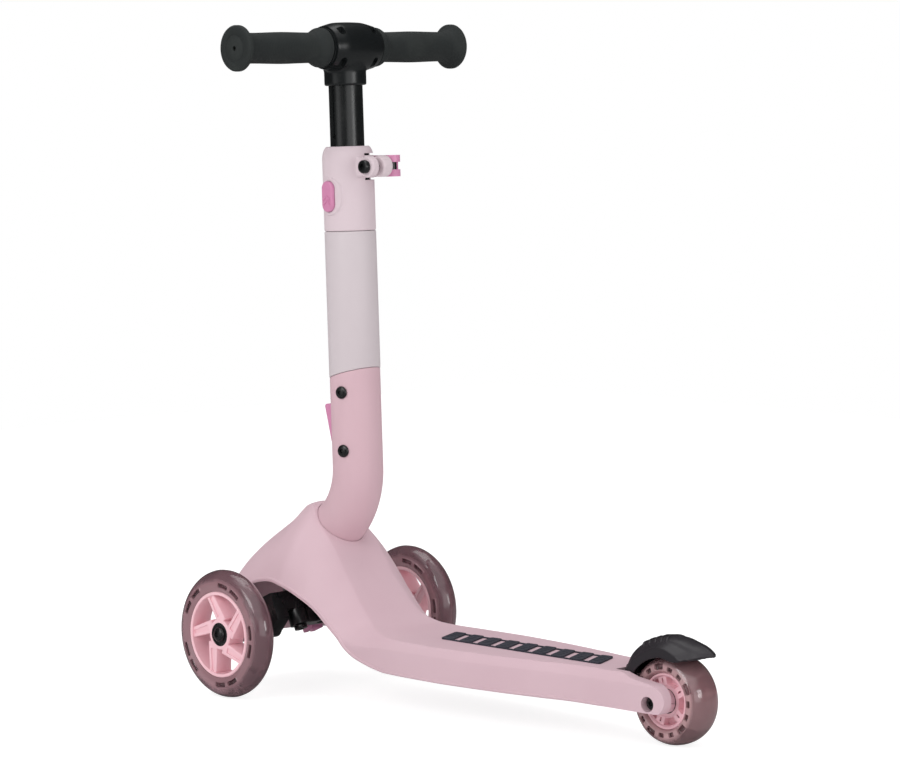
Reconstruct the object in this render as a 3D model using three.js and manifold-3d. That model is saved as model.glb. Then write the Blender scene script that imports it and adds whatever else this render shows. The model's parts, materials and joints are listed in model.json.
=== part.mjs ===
// Three-wheel kids scooter: lean-to-steer deck on two small steered front wheels and one rear wheel,
// a plug-in stem with a telescopic handle, a quick-release clamp and a foot brake over the rear wheel.
// Units are millimetres. +X is the rider's right, +Y is the direction of travel and +Z is up.
// The origin lies on the ground, in the middle of the object's length and width.

import * as THREE from 'three';
import { mergeVertices } from 'three/addons/utils/BufferGeometryUtils.js';
import Module from 'manifold-3d';

const wasm = await Module();
wasm.setup();

// Driving dimensions: the whole scooter
const wheelbase = 462;
const halfTrack = 118;
const noseReach = 76;
const tailReach = 45;
const clearance = 0.3;
const overrun = 5;
const frontAxleY = (wheelbase + tailReach - noseReach) / 2;
const rearAxleY = frontAxleY - wheelbase;

// Front wheels
const frontWheel = {
  radius: 60,
  tyreHalfWidth: 12,
  rimRadius: 40.3,
  rimHalfWidth: 11.4,
  barrelWall: 3.6,
  hubRadius: 14.5,
  hubHalfLength: 9.5,
  webHalfThickness: 9.2,
  spokeCount: 5,
  spokeHalfWidth: 4.4,
  spokePhaseDegrees: 124,
  spokeSweepDegrees: -37,
};

// Rear wheel
const rearWheel = {
  radius: 40,
  tyreHalfWidth: 18.3,
  rimRadius: 24.8,
  rimHalfWidth: 12.1,
  barrelWall: 2.6,
  hubRadius: 13.4,
  hubHalfLength: 12.1,
  webHalfThickness: 7,
  spokeCount: 5,
  spokeHalfWidth: 3.6,
  spokePhaseDegrees: 76,
  spokeSweepDegrees: 0,
};

// Ball bearings, the same size in every hub
const bearing = { outerRadius: 11, boreRadius: 4.2, width: 7, hubBoreRadius: 9.6 };

// Deck
const deckTop = 63.7;
const deckBottom = 32;
const deckHalfWidth = 59;
const deckEdgeRound = 6;
const deckEdgeDrop = 8.7;
const deckWall = 3.2;
const tailHalfWidth = 37;
const deckRib = { wall: 2.4, pitch: 44, bottomInset: 4, railOffset: 19 };

// Hood over the front mechanism, with the socket that the neck stands in
const hood = {
  length: 150,
  crestHeight: 176.5,
  halfWidth: 74,
  creaseHalfWidth: 30,
  wall: 3.2,
  crown: 2.5,
  lipHeight: 42,
  archHeight: 105,
  archFrontReach: 47,
};

// Neck: straight above the bend, then curved forward and down into the socket
const neck = {
  radius: 23.85,
  wall: 3.9,
  bendRadius: 60,
  bendDegrees: 51,
  footRadiusX: 24,
  footRadiusY: 25,
  footDepth: 22,
  footWall: 7,
  straightLength: 91,
  foot: { back: 54.4, rise: 33 },
};
const neckBendHeight = hood.crestHeight + neck.foot.rise;
const socket = { wall: 2.6, floor: 4, boltRadius: 4, boltHeadRadius: 7, boltHeadHeight: 5 };

// Stem: everything here stands on the stem's own axis, measured upwards from the top of the neck's bend
const stemLeanDegrees = 2.2;
const seamTiltDegrees = 14;
const stem = {
  radius: 24.25,
  boreRadius: 20.2,
  collarBottom: 223.6,
  collarLength: 80.6,
  shoulderRound: 4.5,
};
const collarTop = stem.collarBottom + stem.collarLength;
const spigot = { radius: 17.6, boreRadius: 14.6, bottom: 14, plugLength: 15 };
const sleeve = { bottom: 6, topDrop: 7 };
const slideTube = { radius: 16, boreRadius: 14, reachBelow: 55.6, socketDepth: 24 };
const liner = { reachBelow: 23.6, slitWidth: 3 };

// Quick-release clamp on the collar
const clamp = {
  drop: 19.5,
  setback: 38.8,
  earRadius: 10,
  earFaceX: 13,
  earGap: 1.2,
  bandHalfHeight: 11.5,
  slitHeight: 2,
  slitReach: 4,
  boltRadius: 3,
  headRadius: 6.2,
  headLength: 5,
  pivotX: 20.8,
  pivotRadius: 3.8,
  camRadius: 7.2,
  leverHalfHeight: 10,
  forkSlot: 7,
  leverArmLength: 52,
  leverArmThickness: 3.2,
};
const clampHeight = collarTop - clamp.drop;

// Buttons
const heightButton = {
  rise: 34.2,
  halfWidth: 7,
  halfHeight: 14.5,
  proud: 3.6,
  depth: 4,
  travel: 2.4,
  pinRadius: 2.6,
  springLength: 1,
};
const heightButtonPlace = stem.collarBottom + heightButton.rise;
const heightSurround = { halfWidth: 13, halfHeight: 17.5, proud: 1.6 };
const releaseButton = {
  bottom: 25,
  top: 61.5,
  halfWidth: 9,
  reachBottom: 26.5,
  reachTop: 34.5,
  inset: 1.6,
  leafHalfWidth: 5,
  leafHalfHeight: 12,
  leafThickness: 1,
};
const neckScrew = {
  upperDrop: 17,
  lowerHeight: 19,
  turnDegrees: 14,
  headRadius: 6,
  headHeight: 3,
  shankRadius: 2.5,
};
const neckScrewHeights = { upper: neck.straightLength - neckScrew.upperDrop, lower: neckScrew.lowerHeight };

// Handlebar
const handle = {
  rise: 92.3,
  setback: 3,
  barRadius: 11,
  barBoreRadius: 9,
  barHalfLength: 133,
  gripEnd: 139.6,
  discRadius: 21.2,
  gripRadius: 14.9,
  gripWaist: 14.3,
  flangeRadius: 18.5,
  hubHalfLength: 31,
  hubRadius: 23.2,
  hubEndRadius: 20.6,
  hubNeckRadius: 19.75,
  hubDrop: 35.5,
  hubHoleX: 20,
  hubHoleRadius: 3,
  hubHoleDepth: 7,
  hubHoleRise: 15.5,
};
const handleHeight = collarTop + handle.rise;
const hubBottom = handleHeight - handle.hubDrop;

// Front mechanism, in its own frame tilted with the kingpins
const kingpin = {
  spacing: 42,
  setback: 11.5,
  height: 75.5,
  tiltDegrees: 24,
  radius: 4,
  headRadius: 6.4,
  headHeight: 4,
  capHeight: 3,
};
const beam = {
  barrelRadius: 9.5,
  barrelLength: 15,
  blockHalfWidth: 24,
  blockRear: 13,
  blockFront: 9,
  blockTop: 18,
  tongueHalfWidth: 16,
  tongueFront: 40,
  tongueTop: 3,
  tongueThickness: 5,
  columnX: 15,
  columnHalfWidth: 5.5,
  columnHalfDepth: 12,
  screwRadius: 2.5,
  screwHeadRadius: 4.6,
  screwHeadHeight: 3,
};
const knuckle = {
  barrelRadius: 8.4,
  barrelLength: 17.5,
  bossRadius: 10,
  bossInnerX: 58,
  armThickness: 15,
  steerArmThickness: 6,
  steerArmHalfWidth: 6,
  steerArmBottom: 4,
};
const wheelBolt = { radius: 4, headRadius: 7, headLength: 3.4, length: 62 };
const tieRod = {
  pinAhead: 27,
  thickness: 4,
  halfWidth: 3.6,
  eyeRadius: 7.4,
  pinRadius: 2.5,
  pinPlay: 1.5,
  pinHead: 4.6,
};
const returnSpring = { coilRadius: 6.2, wireRadius: 0.5, turns: 3, height: 6 };
const steeringLock = {
  halfWidth: 7,
  front: 38,
  rear: 24,
  height: 7,
  travel: 8,
  postHalfWidth: 2.5,
  postRear: 28,
  postFront: 34,
  capHeight: 2,
};

// Rear end
const slot = { halfWidth: 23.5, front: 51 };
const armEnd = {
  radius: 14.5,
  back: 1.5,
  rise: 3,
  dropStart: 34,
  dropHeight: 60.3,
  dropShare: 0.65,
  roundStart: 3,
  tipWidthShare: 0.35,
};
const rearBoss = { rootRadius: 14, faceRadius: 11 };
const rearAxle = {
  radius: 4,
  screwRadius: 2.3,
  screwDepth: 10,
  recessRadius: 6.85,
  recessFloorX: 28,
  headRadius: 5.7,
  headLength: 4,
};
const fender = {
  halfWidth: 22.4,
  skinThickness: 2.8,
  crownDrop: 4,
  pinForward: 46,
  pinRise: 13,
  pinRadius: 2.5,
  bossRadius: 4.4,
  lugInner: 6.5,
  lugOuter: 15.5,
  lugDepth: 7,
  pinGrip: 5,
  crownRise: 56.2,
  reachFront: 49.4,
  frontSetback: 19,
};
const brakePad = { halfWidth: 11, gap: 6, frontAngleDegrees: 62, rearAngleDegrees: 98 };
const brakeSpring = { radius: 3.9, wall: 0.9 };

// Grip strip on the deck
const gripStrip = {
  height: 1.6,
  halfWidth: 17,
  rearGap: 25,
  frontGap: 10,
  barCount: 9,
  barShare: 0.62,
  slant: 15,
  railWidth: 3,
};

// Fineness of round shapes
const segments = { large: 32, medium: 20, small: 12, tiny: 10, bend: 5, corner: 5, hubSide: 2 };
const coilShape = { stepsPerTurn: 8, wireSides: 5 };

const degree = Math.PI / 180;

/** Turns a closed geometry into a solid that can be joined and cut. */
function solid(geometry) {
  const bare = geometry.index ? geometry.toNonIndexed() : geometry.clone();
  bare.deleteAttribute('normal');
  bare.deleteAttribute('uv');
  const merged = mergeVertices(bare);
  return new wasm.Manifold(new wasm.Mesh({
    numProp: 3,
    vertProperties: new Float32Array(merged.attributes.position.array),
    triVerts: new Uint32Array(merged.index.array),
  }));
}

/** Turns a solid back into a geometry. */
function shapeOf(body) {
  const mesh = body.getMesh();
  const geometry = new THREE.BufferGeometry();
  geometry.setAttribute('position', new THREE.BufferAttribute(new Float32Array(mesh.vertProperties), 3));
  geometry.setIndex(new THREE.BufferAttribute(new Uint32Array(mesh.triVerts), 1));
  geometry.computeVertexNormals();
  return geometry;
}

/** Joins geometries and cuts others from the result. */
function shaped(joined, cutters = []) {
  let body = solid(joined[0]);
  for (const next of joined.slice(1)) body = body.add(solid(next));
  for (const cutter of cutters) body = body.subtract(solid(cutter));
  return shapeOf(body);
}

/** A box between two corners. */
function boxBetween(low, high) {
  const geometry = new THREE.BoxGeometry(high[0] - low[0], high[1] - low[1], high[2] - low[2]);
  return geometry.translate((low[0] + high[0]) / 2, (low[1] + high[1]) / 2, (low[2] + high[2]) / 2);
}

/** A cylinder or cone along +X from x0 to x1, with a corner of its section straight down. */
function rodX(radius, x0, x1, y, z, count, endRadius = radius) {
  const geometry = new THREE.CylinderGeometry(radius, endRadius, x1 - x0, count);
  return geometry.rotateZ(Math.PI / 2).translate((x0 + x1) / 2, y, z);
}

/** A cylinder or cone along +Z from z0 to z1. */
function rodZ(radius, z0, z1, x, y, count, topRadius = radius) {
  const geometry = new THREE.CylinderGeometry(topRadius, radius, z1 - z0, count);
  return geometry.rotateX(Math.PI / 2).translate(x, y, (z0 + z1) / 2);
}

/** A cylinder along +Y from y0 to y1. */
function rodY(radius, y0, y1, x, z, count) {
  return new THREE.CylinderGeometry(radius, radius, y1 - y0, count).translate(x, (y0 + y1) / 2, z);
}

/** Spins a closed profile of [radius, height] points round the Z axis. */
function spunZ(profile, count) {
  const closed = [...profile, profile[0]].map(([r, h]) => new THREE.Vector2(r, h));
  return facingOut(new THREE.LatheGeometry(closed, count).rotateX(Math.PI / 2));
}

/** Spins a closed profile of [radius, x] points round the X axis, with a corner straight down. */
function spunX(profile, count) {
  const closed = [...profile, profile[0]].map(([r, h]) => new THREE.Vector2(r, h));
  return facingOut(new THREE.LatheGeometry(closed, count).rotateZ(-Math.PI / 2).rotateX(Math.PI / 2));
}

/** Leaves a geometry made for the rider's right, or mirrors it to the left. */
function onSide(geometry, sign) {
  return sign > 0 ? geometry : facingOut(geometry.scale(-1, 1, 1));
}

/** Extrudes a closed outline of [x, y] points along +Z from z0 to z1. */
function plate(outline, z0, z1, holes = []) {
  const shape = new THREE.Shape(outline.map(([x, y]) => new THREE.Vector2(x, y)));
  for (const hole of holes) shape.holes.push(new THREE.Path(hole.map(([x, y]) => new THREE.Vector2(x, y))));
  return new THREE.ExtrudeGeometry(shape, { depth: z1 - z0, bevelEnabled: false }).translate(0, 0, z0);
}

/** Extrudes a closed outline of [y, z] points along +X from x0 to x1. */
function slab(outline, x0, x1) {
  const geometry = plate(outline, x0, x1);
  return geometry.rotateZ(Math.PI / 2).rotateY(Math.PI / 2);
}

/** The signed volume of a geometry, positive where its faces point out. */
function signedVolume(geometry) {
  const position = geometry.attributes.position;
  const index = geometry.index;
  const corner = [new THREE.Vector3(), new THREE.Vector3(), new THREE.Vector3()];
  let sum = 0;
  for (let i = 0; i < index.count; i += 3) {
    corner.forEach((point, k) => point.fromBufferAttribute(position, index.getX(i + k)));
    sum += corner[0].dot(corner[1].clone().cross(corner[2]));
  }
  return sum;
}

/** Turns a geometry's faces outwards where they point in. */
function facingOut(geometry) {
  geometry.deleteAttribute('normal');
  geometry.deleteAttribute('uv');
  const merged = mergeVertices(geometry);
  if (signedVolume(merged) < 0) {
    const index = merged.index.array;
    for (let i = 0; i < index.length; i += 3) [index[i], index[i + 1]] = [index[i + 1], index[i]];
  }
  return merged;
}

/** Splits a flat ring of points into triangles, as index triples. */
function capTriangles(ring) {
  const normal = new THREE.Vector3();
  ring.forEach((point, i) => normal.add(point.clone().cross(ring[(i + 1) % ring.length])));
  normal.normalize();
  const across = ring[1].clone().sub(ring[0]).normalize();
  const along = normal.clone().cross(across);
  const flat = ring.map((point) => new THREE.Vector2(point.dot(across), point.dot(along)));
  return THREE.ShapeUtils.triangulateShape(flat, []);
}

/** A closed body through rings of equal point counts, closed by a flat cap at each end. */
function loft(rings) {
  const count = rings[0].length;
  const positions = rings.flat().flatMap((point) => [point.x, point.y, point.z]);
  const indices = [];
  for (let i = 0; i + 1 < rings.length; i += 1) {
    for (let j = 0; j < count; j += 1) {
      const a = i * count + j;
      const b = i * count + ((j + 1) % count);
      indices.push(a, b, b + count, a, b + count, a + count);
    }
  }
  const last = (rings.length - 1) * count;
  for (const [a, b, c] of capTriangles(rings[0])) indices.push(a, c, b);
  for (const [a, b, c] of capTriangles(rings[rings.length - 1])) indices.push(last + a, last + b, last + c);
  const geometry = new THREE.BufferGeometry();
  geometry.setAttribute('position', new THREE.BufferAttribute(new Float32Array(positions), 3));
  geometry.setIndex(indices);
  return facingOut(geometry);
}

/** Points of a circular arc, in degrees. */
function arc(centreA, centreB, radius, from, to, count) {
  return Array.from({ length: count + 1 }, (_, i) => {
    const angle = (from + ((to - from) * i) / count) * degree;
    return [centreA + radius * Math.cos(angle), centreB + radius * Math.sin(angle)];
  });
}

/** An upright outline with round ends. */
function stadium(halfWidth, halfHeight) {
  const straight = halfHeight - halfWidth;
  return [
    ...arc(0, straight, halfWidth, 0, 180, segments.corner),
    ...arc(0, -straight, halfWidth, 180, 360, segments.corner),
  ];
}

const finishes = {
  deckPink: new THREE.MeshStandardMaterial({ color: '#d9b6c1', roughness: 0.45, metalness: 0 }),
  neckPink: new THREE.MeshStandardMaterial({ color: '#d2adb8', roughness: 0.45, metalness: 0 }),
  palePink: new THREE.MeshStandardMaterial({ color: '#dfcad2', roughness: 0.45, metalness: 0 }),
  paleLilac: new THREE.MeshStandardMaterial({ color: '#d8ced3', roughness: 0.4, metalness: 0 }),
  magenta: new THREE.MeshStandardMaterial({ color: '#d089ad', roughness: 0.4, metalness: 0 }),
  rimPink: new THREE.MeshStandardMaterial({ color: '#eebfc9', roughness: 0.4, metalness: 0 }),
  smokyTyre: new THREE.MeshStandardMaterial({ color: '#7d6168', roughness: 0.25, metalness: 0 }),
  blackPlastic: new THREE.MeshStandardMaterial({ color: '#1f2224', roughness: 0.55, metalness: 0 }),
  blackRubber: new THREE.MeshStandardMaterial({ color: '#2d3130', roughness: 0.85, metalness: 0 }),
  blackSteel: new THREE.MeshStandardMaterial({ color: '#1a1b1d', roughness: 0.35, metalness: 0.7 }),
  steel: new THREE.MeshStandardMaterial({ color: '#b4b7ba', roughness: 0.3, metalness: 0.9 }),
};

/** A named mesh. */
function piece(name, geometry, finish) {
  const mesh = new THREE.Mesh(geometry, finishes[finish]);
  mesh.name = name;
  return mesh;
}

const sides = [
  { name: 'left', sign: -1 },
  { name: 'right', sign: 1 },
];

// Deck and hood shell

// Stations of the deck behind the hood: place as a share of the distance from the rear axle to the hood's rear
// end, half width as a share of the way from the tail's width to the deck's.
const deckStationShares = [
  { along: -0.08, wide: 0 },
  { along: 0.26, wide: 0.07 },
  { along: 0.4, wide: 0.39 },
  { along: 0.54, wide: 0.7 },
  { along: 0.66, wide: 0.88 },
  { along: 0.79, wide: 1 },
  { along: 0.93, wide: 1 },
];

// Stations of the hood's rear slope: place behind the front axle as a share of the hood's length, top as a share of
// the rise from deck to crest, crease, edge width and shoulder height as shares of the hood's own.
const slopeStationShares = [
  { along: 1, top: 0.005, crease: 1.67, edge: 0.79, shoulder: 0 },
  { along: 0.833, top: 0.029, crease: 1.4, edge: 0.79, shoulder: -0.03 },
  { along: 0.747, top: 0.069, crease: 1.23, edge: 0.797, shoulder: -0.02 },
  { along: 0.687, top: 0.118, crease: 1.1, edge: 0.804, shoulder: 0.0 },
  { along: 0.61, top: 0.215, crease: 1.04, edge: 0.818, shoulder: 0.06 },
  { along: 0.54, top: 0.322, crease: 1.01, edge: 0.838, shoulder: 0.18 },
  { along: 0.46, top: 0.44, crease: 1, edge: 0.865, shoulder: 0.34 },
  { along: 0.387, top: 0.583, crease: 1.03, edge: 0.892, shoulder: 0.5 },
  { along: 0.297, top: 0.725, crease: 1.04, edge: 0.932, shoulder: 0.66 },
  { along: 0.193, top: 0.845, crease: 0.96, edge: 0.973, shoulder: 0.76 },
  { along: 0.107, top: 0.956, crease: 0.74, edge: 1, shoulder: 0.82 },
  { along: 0.053, top: 0.99, crease: 0.58, edge: 1, shoulder: 0.84 },
];

// Stations of the hood's front: place ahead of the front axle as a share of the nose's reach.
const noseStationShares = [
  { along: 0.04, top: 0.975, crease: 0.44, edge: 1, shoulder: 0.86 },
  { along: 0.15, top: 0.918, crease: 0.42, edge: 1, shoulder: 0.88 },
  { along: 0.263, top: 0.854, crease: 0.43, edge: 0.997, shoulder: 0.9 },
  { along: 0.46, top: 0.765, crease: 0.45, edge: 0.958, shoulder: 0.9 },
  { along: 0.658, top: 0.676, crease: 0.47, edge: 0.862, shoulder: 0.9 },
  { along: 0.79, top: 0.588, crease: 0.47, edge: 0.741, shoulder: 0.88 },
  { along: 0.895, top: 0.49, crease: 0.4, edge: 0.577, shoulder: 0.86 },
  { along: 0.96, top: 0.392, crease: 0.3, edge: 0.392, shoulder: 0.84 },
  { along: 1, top: 0.296, crease: 0.1, edge: 0.12, shoulder: 0.82 },
];

/** Turns the tables of shares into stations in real sizes. */
function shellStations() {
  const deckRun = wheelbase - hood.length;
  const rise = hood.crestHeight - deckTop;
  const shoulderRise = hood.archHeight - (deckTop - deckEdgeDrop);
  const deckPart = deckStationShares.map(({ along, wide }) => {
    const halfWidth = tailHalfWidth + (deckHalfWidth - tailHalfWidth) * wide;
    return {
      y: rearAxleY + deckRun * along,
      top: deckTop,
      crown: 0,
      crease: halfWidth - deckEdgeRound,
      edge: halfWidth,
      shoulder: deckTop - deckEdgeDrop,
    };
  });
  const hoodPart = (shares, place) => shares.map((station) => ({
    y: place(station.along),
    top: deckTop + rise * station.top,
    crown: hood.crown * Math.min(station.top * 4, 1),
    crease: hood.creaseHalfWidth * station.crease,
    edge: hood.halfWidth * station.edge,
    shoulder: deckTop - deckEdgeDrop + shoulderRise * station.shoulder,
  }));
  return [
    ...deckPart,
    ...hoodPart(slopeStationShares, (along) => frontAxleY - hood.length * along),
    ...hoodPart(noseStationShares, (along) => frontAxleY + noseReach * along),
  ];
}

// Shape of the flank between crease and shoulder, as the place of a Bezier curve's middle point.
const flankBowShare = { out: 0.62, down: 0.38 };
const flankSteps = 4;

/** One cross-section of the shell, drawn in by an inset for its hollow. */
function shellSection(station, inset, bottom) {
  const top = station.top - inset;
  const edge = Math.max(station.edge - inset, inset);
  const crease = Math.max(Math.min(station.crease - inset / 2, edge - inset / 2), inset / 2);
  const shoulder = Math.min(station.shoulder, top - station.crown - inset / 2);
  const creaseZ = top - station.crown;
  const bowX = crease + (edge - crease) * flankBowShare.out;
  const bowZ = creaseZ - (creaseZ - shoulder) * flankBowShare.down;
  const half = [[crease / 2, top - station.crown / 4]];
  for (let i = 0; i <= flankSteps; i += 1) {
    const t = i / flankSteps;
    const near = (1 - t) * (1 - t);
    const middle = 2 * t * (1 - t);
    half.push([near * crease + middle * bowX + t * t * edge, near * creaseZ + middle * bowZ + t * t * shoulder]);
  }
  half.push([edge, bottom]);
  const mirrored = half.map(([x, z]) => [-x, z]).reverse();
  return [[0, top], ...half, ...mirrored].map(([x, z]) => new THREE.Vector3(x, station.y, z));
}

/** The lower edge of deck, wheel arch and nose seen from the side, closed far below. */
function undersideOutline() {
  const deckRear = rearAxleY - tailReach - overrun;
  const rise = hood.archHeight - deckBottom;
  const rearLeg = hood.length;
  const legShares = [
    [1.05, 0], [0.92, 0.04], [0.827, 0.082], [0.72, 0.151], [0.647, 0.247], [0.6, 0.351], [0.513, 0.493],
    [0.453, 0.603], [0.38, 0.726], [0.287, 0.836], [0.18, 0.932], [0.08, 0.993], [0, 1],
  ];
  const frontShares = [[0.3, 0.96], [0.52, 0.9], [0.74, 0.79], [0.91, 0.62], [0.99, 0.4]];
  return [
    [deckRear, deckBottom],
    ...legShares.map(([back, up]) => [frontAxleY - rearLeg * back, deckBottom + rise * up]),
    ...frontShares.map(([ahead, up]) => [frontAxleY + hood.archFrontReach * ahead, deckBottom + rise * up]),
    [frontAxleY + hood.archFrontReach, hood.lipHeight],
    [frontAxleY + noseReach + overrun, hood.lipHeight],
    [frontAxleY + noseReach + overrun, -overrun],
    [deckRear, -overrun],
  ];
}

/** Side profile of a fork arm beside the rear wheel. */
function armOutline() {
  const centreY = rearAxleY - armEnd.back;
  const centreZ = rearWheel.radius + armEnd.rise;
  return [
    [rearAxleY + slot.front + overrun, deckBottom],
    [rearAxleY + slot.front + overrun, deckTop],
    [rearAxleY + armEnd.dropStart, deckTop],
    [rearAxleY + armEnd.dropStart * armEnd.dropShare, armEnd.dropHeight],
    ...arc(centreY, centreZ, armEnd.radius, 90, 270, segments.bend),
  ];
}

/** Plan of a fork arm on the rider's right, rounded towards its rear end. */
function armPlan() {
  const width = tailHalfWidth - slot.halfWidth;
  const rearRun = armEnd.roundStart + armEnd.back + armEnd.radius + overrun / 2;
  const rounded = arc(0, 0, 1, 0, 90, segments.bend).map(([across, along]) => [
    slot.halfWidth + width * (armEnd.tipWidthShare + (1 - armEnd.tipWidthShare) * across),
    rearAxleY + armEnd.roundStart - rearRun * along,
  ]);
  const front = rearAxleY + slot.front + overrun;
  return [
    [tailHalfWidth + overrun, front],
    [tailHalfWidth + overrun, rearAxleY + armEnd.roundStart],
    ...rounded,
    [slot.halfWidth, rearAxleY + armEnd.roundStart - rearRun],
    [slot.halfWidth, front],
  ].reverse();
}

/** The frame of the neck's foot: its place on the seam and its direction into the hood. */
function footFrame() {
  const bend = neck.bendDegrees * degree;
  const origin = new THREE.Vector3(
    0,
    frontAxleY - neck.foot.back + neck.bendRadius * (1 - Math.cos(bend)),
    neckBendHeight - neck.bendRadius * Math.sin(bend),
  );
  return { origin, tilt: bend };
}

/** Places a geometry that runs along -Z, from the seam into the hood, in the foot's frame. */
function intoFoot(geometry) {
  const { origin, tilt } = footFrame();
  return geometry.rotateX(tilt).translate(origin.x, origin.y, origin.z);
}

/** An elliptic rod along Z, as wide as the neck's foot plus a margin. */
function footRod(margin, z0, z1, count) {
  const rod = rodZ(1, z0, z1, 0, 0, count);
  return rod.scale(neck.footRadiusX + margin, neck.footRadiusY + margin, 1);
}

/** Places a geometry of the front mechanism's tilted frame in the scooter's frame. */
function intoMechanism(geometry) {
  return geometry
    .rotateX(-kingpin.tiltDegrees * degree)
    .translate(0, frontAxleY - kingpin.setback, kingpin.height);
}

/** Stiffening ribs and the columns that carry the front beam, before they are trimmed by the hollow. */
function shellRibs() {
  const ribs = [];
  const ribBottom = deckBottom + deckRib.bottomInset;
  const first = rearAxleY + slot.front;
  const last = frontAxleY - hood.length;
  const count = Math.floor((last - first) / deckRib.pitch);
  for (let i = 1; i <= count; i += 1) {
    const y = first + ((last - first) * i) / count;
    ribs.push(boxBetween(
      [-deckHalfWidth, y - deckRib.wall / 2, ribBottom],
      [deckHalfWidth, y + deckRib.wall / 2, deckTop],
    ));
  }
  for (const { sign } of sides) {
    const x = sign * deckRib.railOffset;
    ribs.push(boxBetween([x - deckRib.wall / 2, first, ribBottom], [x + deckRib.wall / 2, last, deckTop]));
  }
  for (const { sign } of sides) {
    const x = sign * beam.columnX;
    const low = [x - beam.columnHalfWidth, -beam.columnHalfDepth, beam.blockTop + clearance];
    const high = [x + beam.columnHalfWidth, beam.columnHalfDepth, hood.crestHeight];
    ribs.push(intoMechanism(boxBetween(low, high)));
  }
  return ribs;
}

/** The space inside the shell, drawn in from its skin by an inset and open below. */
function shellHollow(stations, inset) {
  const rearY = rearAxleY + slot.front + inset;
  const noseStart = frontAxleY + noseReach / 2;
  const rings = stations.filter((station) => station.y > rearY + deckWall).map((station) => {
    const y = station.y > noseStart ? station.y - inset : station.y;
    return shellSection({ ...station, y }, inset, -overrun);
  });
  const rear = rings[0].map((point) => new THREE.Vector3(point.x, rearY, point.z));
  return loft([rear, ...rings]);
}

/** Deck, hood, fork arms and neck socket in one moulding. */
function deckShell() {
  const stations = shellStations();
  const outer = solid(loft(stations.map((station) => shellSection(station, 0, deckBottom))));
  const slotFrontY = rearAxleY + slot.front;
  const hollow = solid(shellHollow(stations, hood.wall));
  const ribRoom = solid(shellHollow(stations, hood.wall / 2));

  const arms = sides.map(({ sign }) => outer
    .intersect(solid(slab(armOutline(), -halfTrack, halfTrack)))
    .intersect(solid(onSide(plate(armPlan(), 0, deckTop + overrun), sign))));
  const bossFaceX = rearWheel.hubHalfLength + clearance;
  const bosses = sides.map(({ sign }) => solid(onSide(rodX(rearBoss.faceRadius, bossFaceX, slot.halfWidth + deckWall,
    rearAxleY, rearWheel.radius, segments.medium, rearBoss.rootRadius), sign)));

  const socketDepth = neck.footDepth + clearance + socket.floor;
  const socketBody = solid(intoFoot(footRod(clearance + socket.wall, -socketDepth, 0, segments.medium)));
  const footRoom = solid(intoFoot(footRod(clearance, -neck.footDepth - clearance, overrun * 3, segments.medium)));
  const boltHole = solid(intoFoot(rodZ(socket.boltRadius + clearance, -socketDepth - overrun, 0, 0, 0, segments.small)));

  const tailBehind = boxBetween(
    [-halfTrack, rearAxleY - tailReach * 2, -overrun],
    [halfTrack, rearAxleY + armEnd.dropStart, deckTop + overrun],
  );
  let body = outer.subtract(solid(tailBehind)).subtract(hollow);
  for (const rib of shellRibs()) body = body.add(solid(rib).intersect(ribRoom));
  body = body.subtract(solid(boxBetween(
    [-slot.halfWidth, rearAxleY - tailReach * 2, -overrun],
    [slot.halfWidth, slotFrontY, deckTop + overrun],
  )));
  for (const arm of arms) body = body.add(arm);
  for (const boss of bosses) body = body.add(boss);
  body = body.add(socketBody.intersect(outer)).subtract(footRoom).subtract(boltHole);
  body = body.subtract(solid(slab(undersideOutline(), -halfTrack, halfTrack)));

  const cutters = [
    rodX(rearAxle.radius + clearance, -tailHalfWidth * 2, tailHalfWidth * 2, rearAxleY, rearWheel.radius, segments.small),
    rodX(fender.pinRadius + clearance, -slot.halfWidth - fender.pinGrip, slot.halfWidth + fender.pinGrip,
      rearAxleY + fender.pinForward, rearWheel.radius + fender.pinRise, segments.tiny),
    ...sides.map(({ sign }) => onSide(rodX(rearAxle.recessRadius, rearAxle.recessFloorX, tailHalfWidth + overrun,
      rearAxleY, rearWheel.radius, segments.medium), sign)),
    ...sides.map(({ sign }) => intoMechanism(rodZ(beam.screwRadius + clearance, 0,
      beam.blockTop * 2, sign * beam.columnX, 0, segments.tiny))),
  ];
  for (const cutter of cutters) body = body.subtract(solid(cutter));
  return piece('deck_shell', shapeOf(body), 'deckPink');
}

/** Raised tread strip: slanted bars held together by two thin rails. */
function deckGripStrip() {
  const rear = rearAxleY + slot.front + gripStrip.rearGap;
  const front = frontAxleY - hood.length - gripStrip.frontGap;
  const pitch = (front - rear - gripStrip.slant) / gripStrip.barCount;
  const bottom = deckTop + clearance / 3;
  const top = bottom + gripStrip.height;
  const bars = Array.from({ length: gripStrip.barCount }, (_, i) => {
    const y = rear + pitch * i;
    const far = y + pitch * gripStrip.barShare;
    return plate([
      [-gripStrip.halfWidth, y],
      [gripStrip.halfWidth, y + gripStrip.slant],
      [gripStrip.halfWidth, far + gripStrip.slant],
      [-gripStrip.halfWidth, far],
    ], bottom, top);
  });
  const rails = sides.map(({ sign }) => {
    const x = sign * (gripStrip.halfWidth - gripStrip.railWidth / 2);
    const lag = (gripStrip.slant * (1 + sign) + pitch * gripStrip.barShare) / 2;
    return boxBetween(
      [x - gripStrip.railWidth / 2, rear + lag, bottom],
      [x + gripStrip.railWidth / 2, rear + lag + pitch * (gripStrip.barCount - 1), bottom + gripStrip.height / 2],
    );
  });
  return piece('deck_grip_strip', shaped([...bars, ...rails]), 'blackRubber');
}

// Neck

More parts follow.
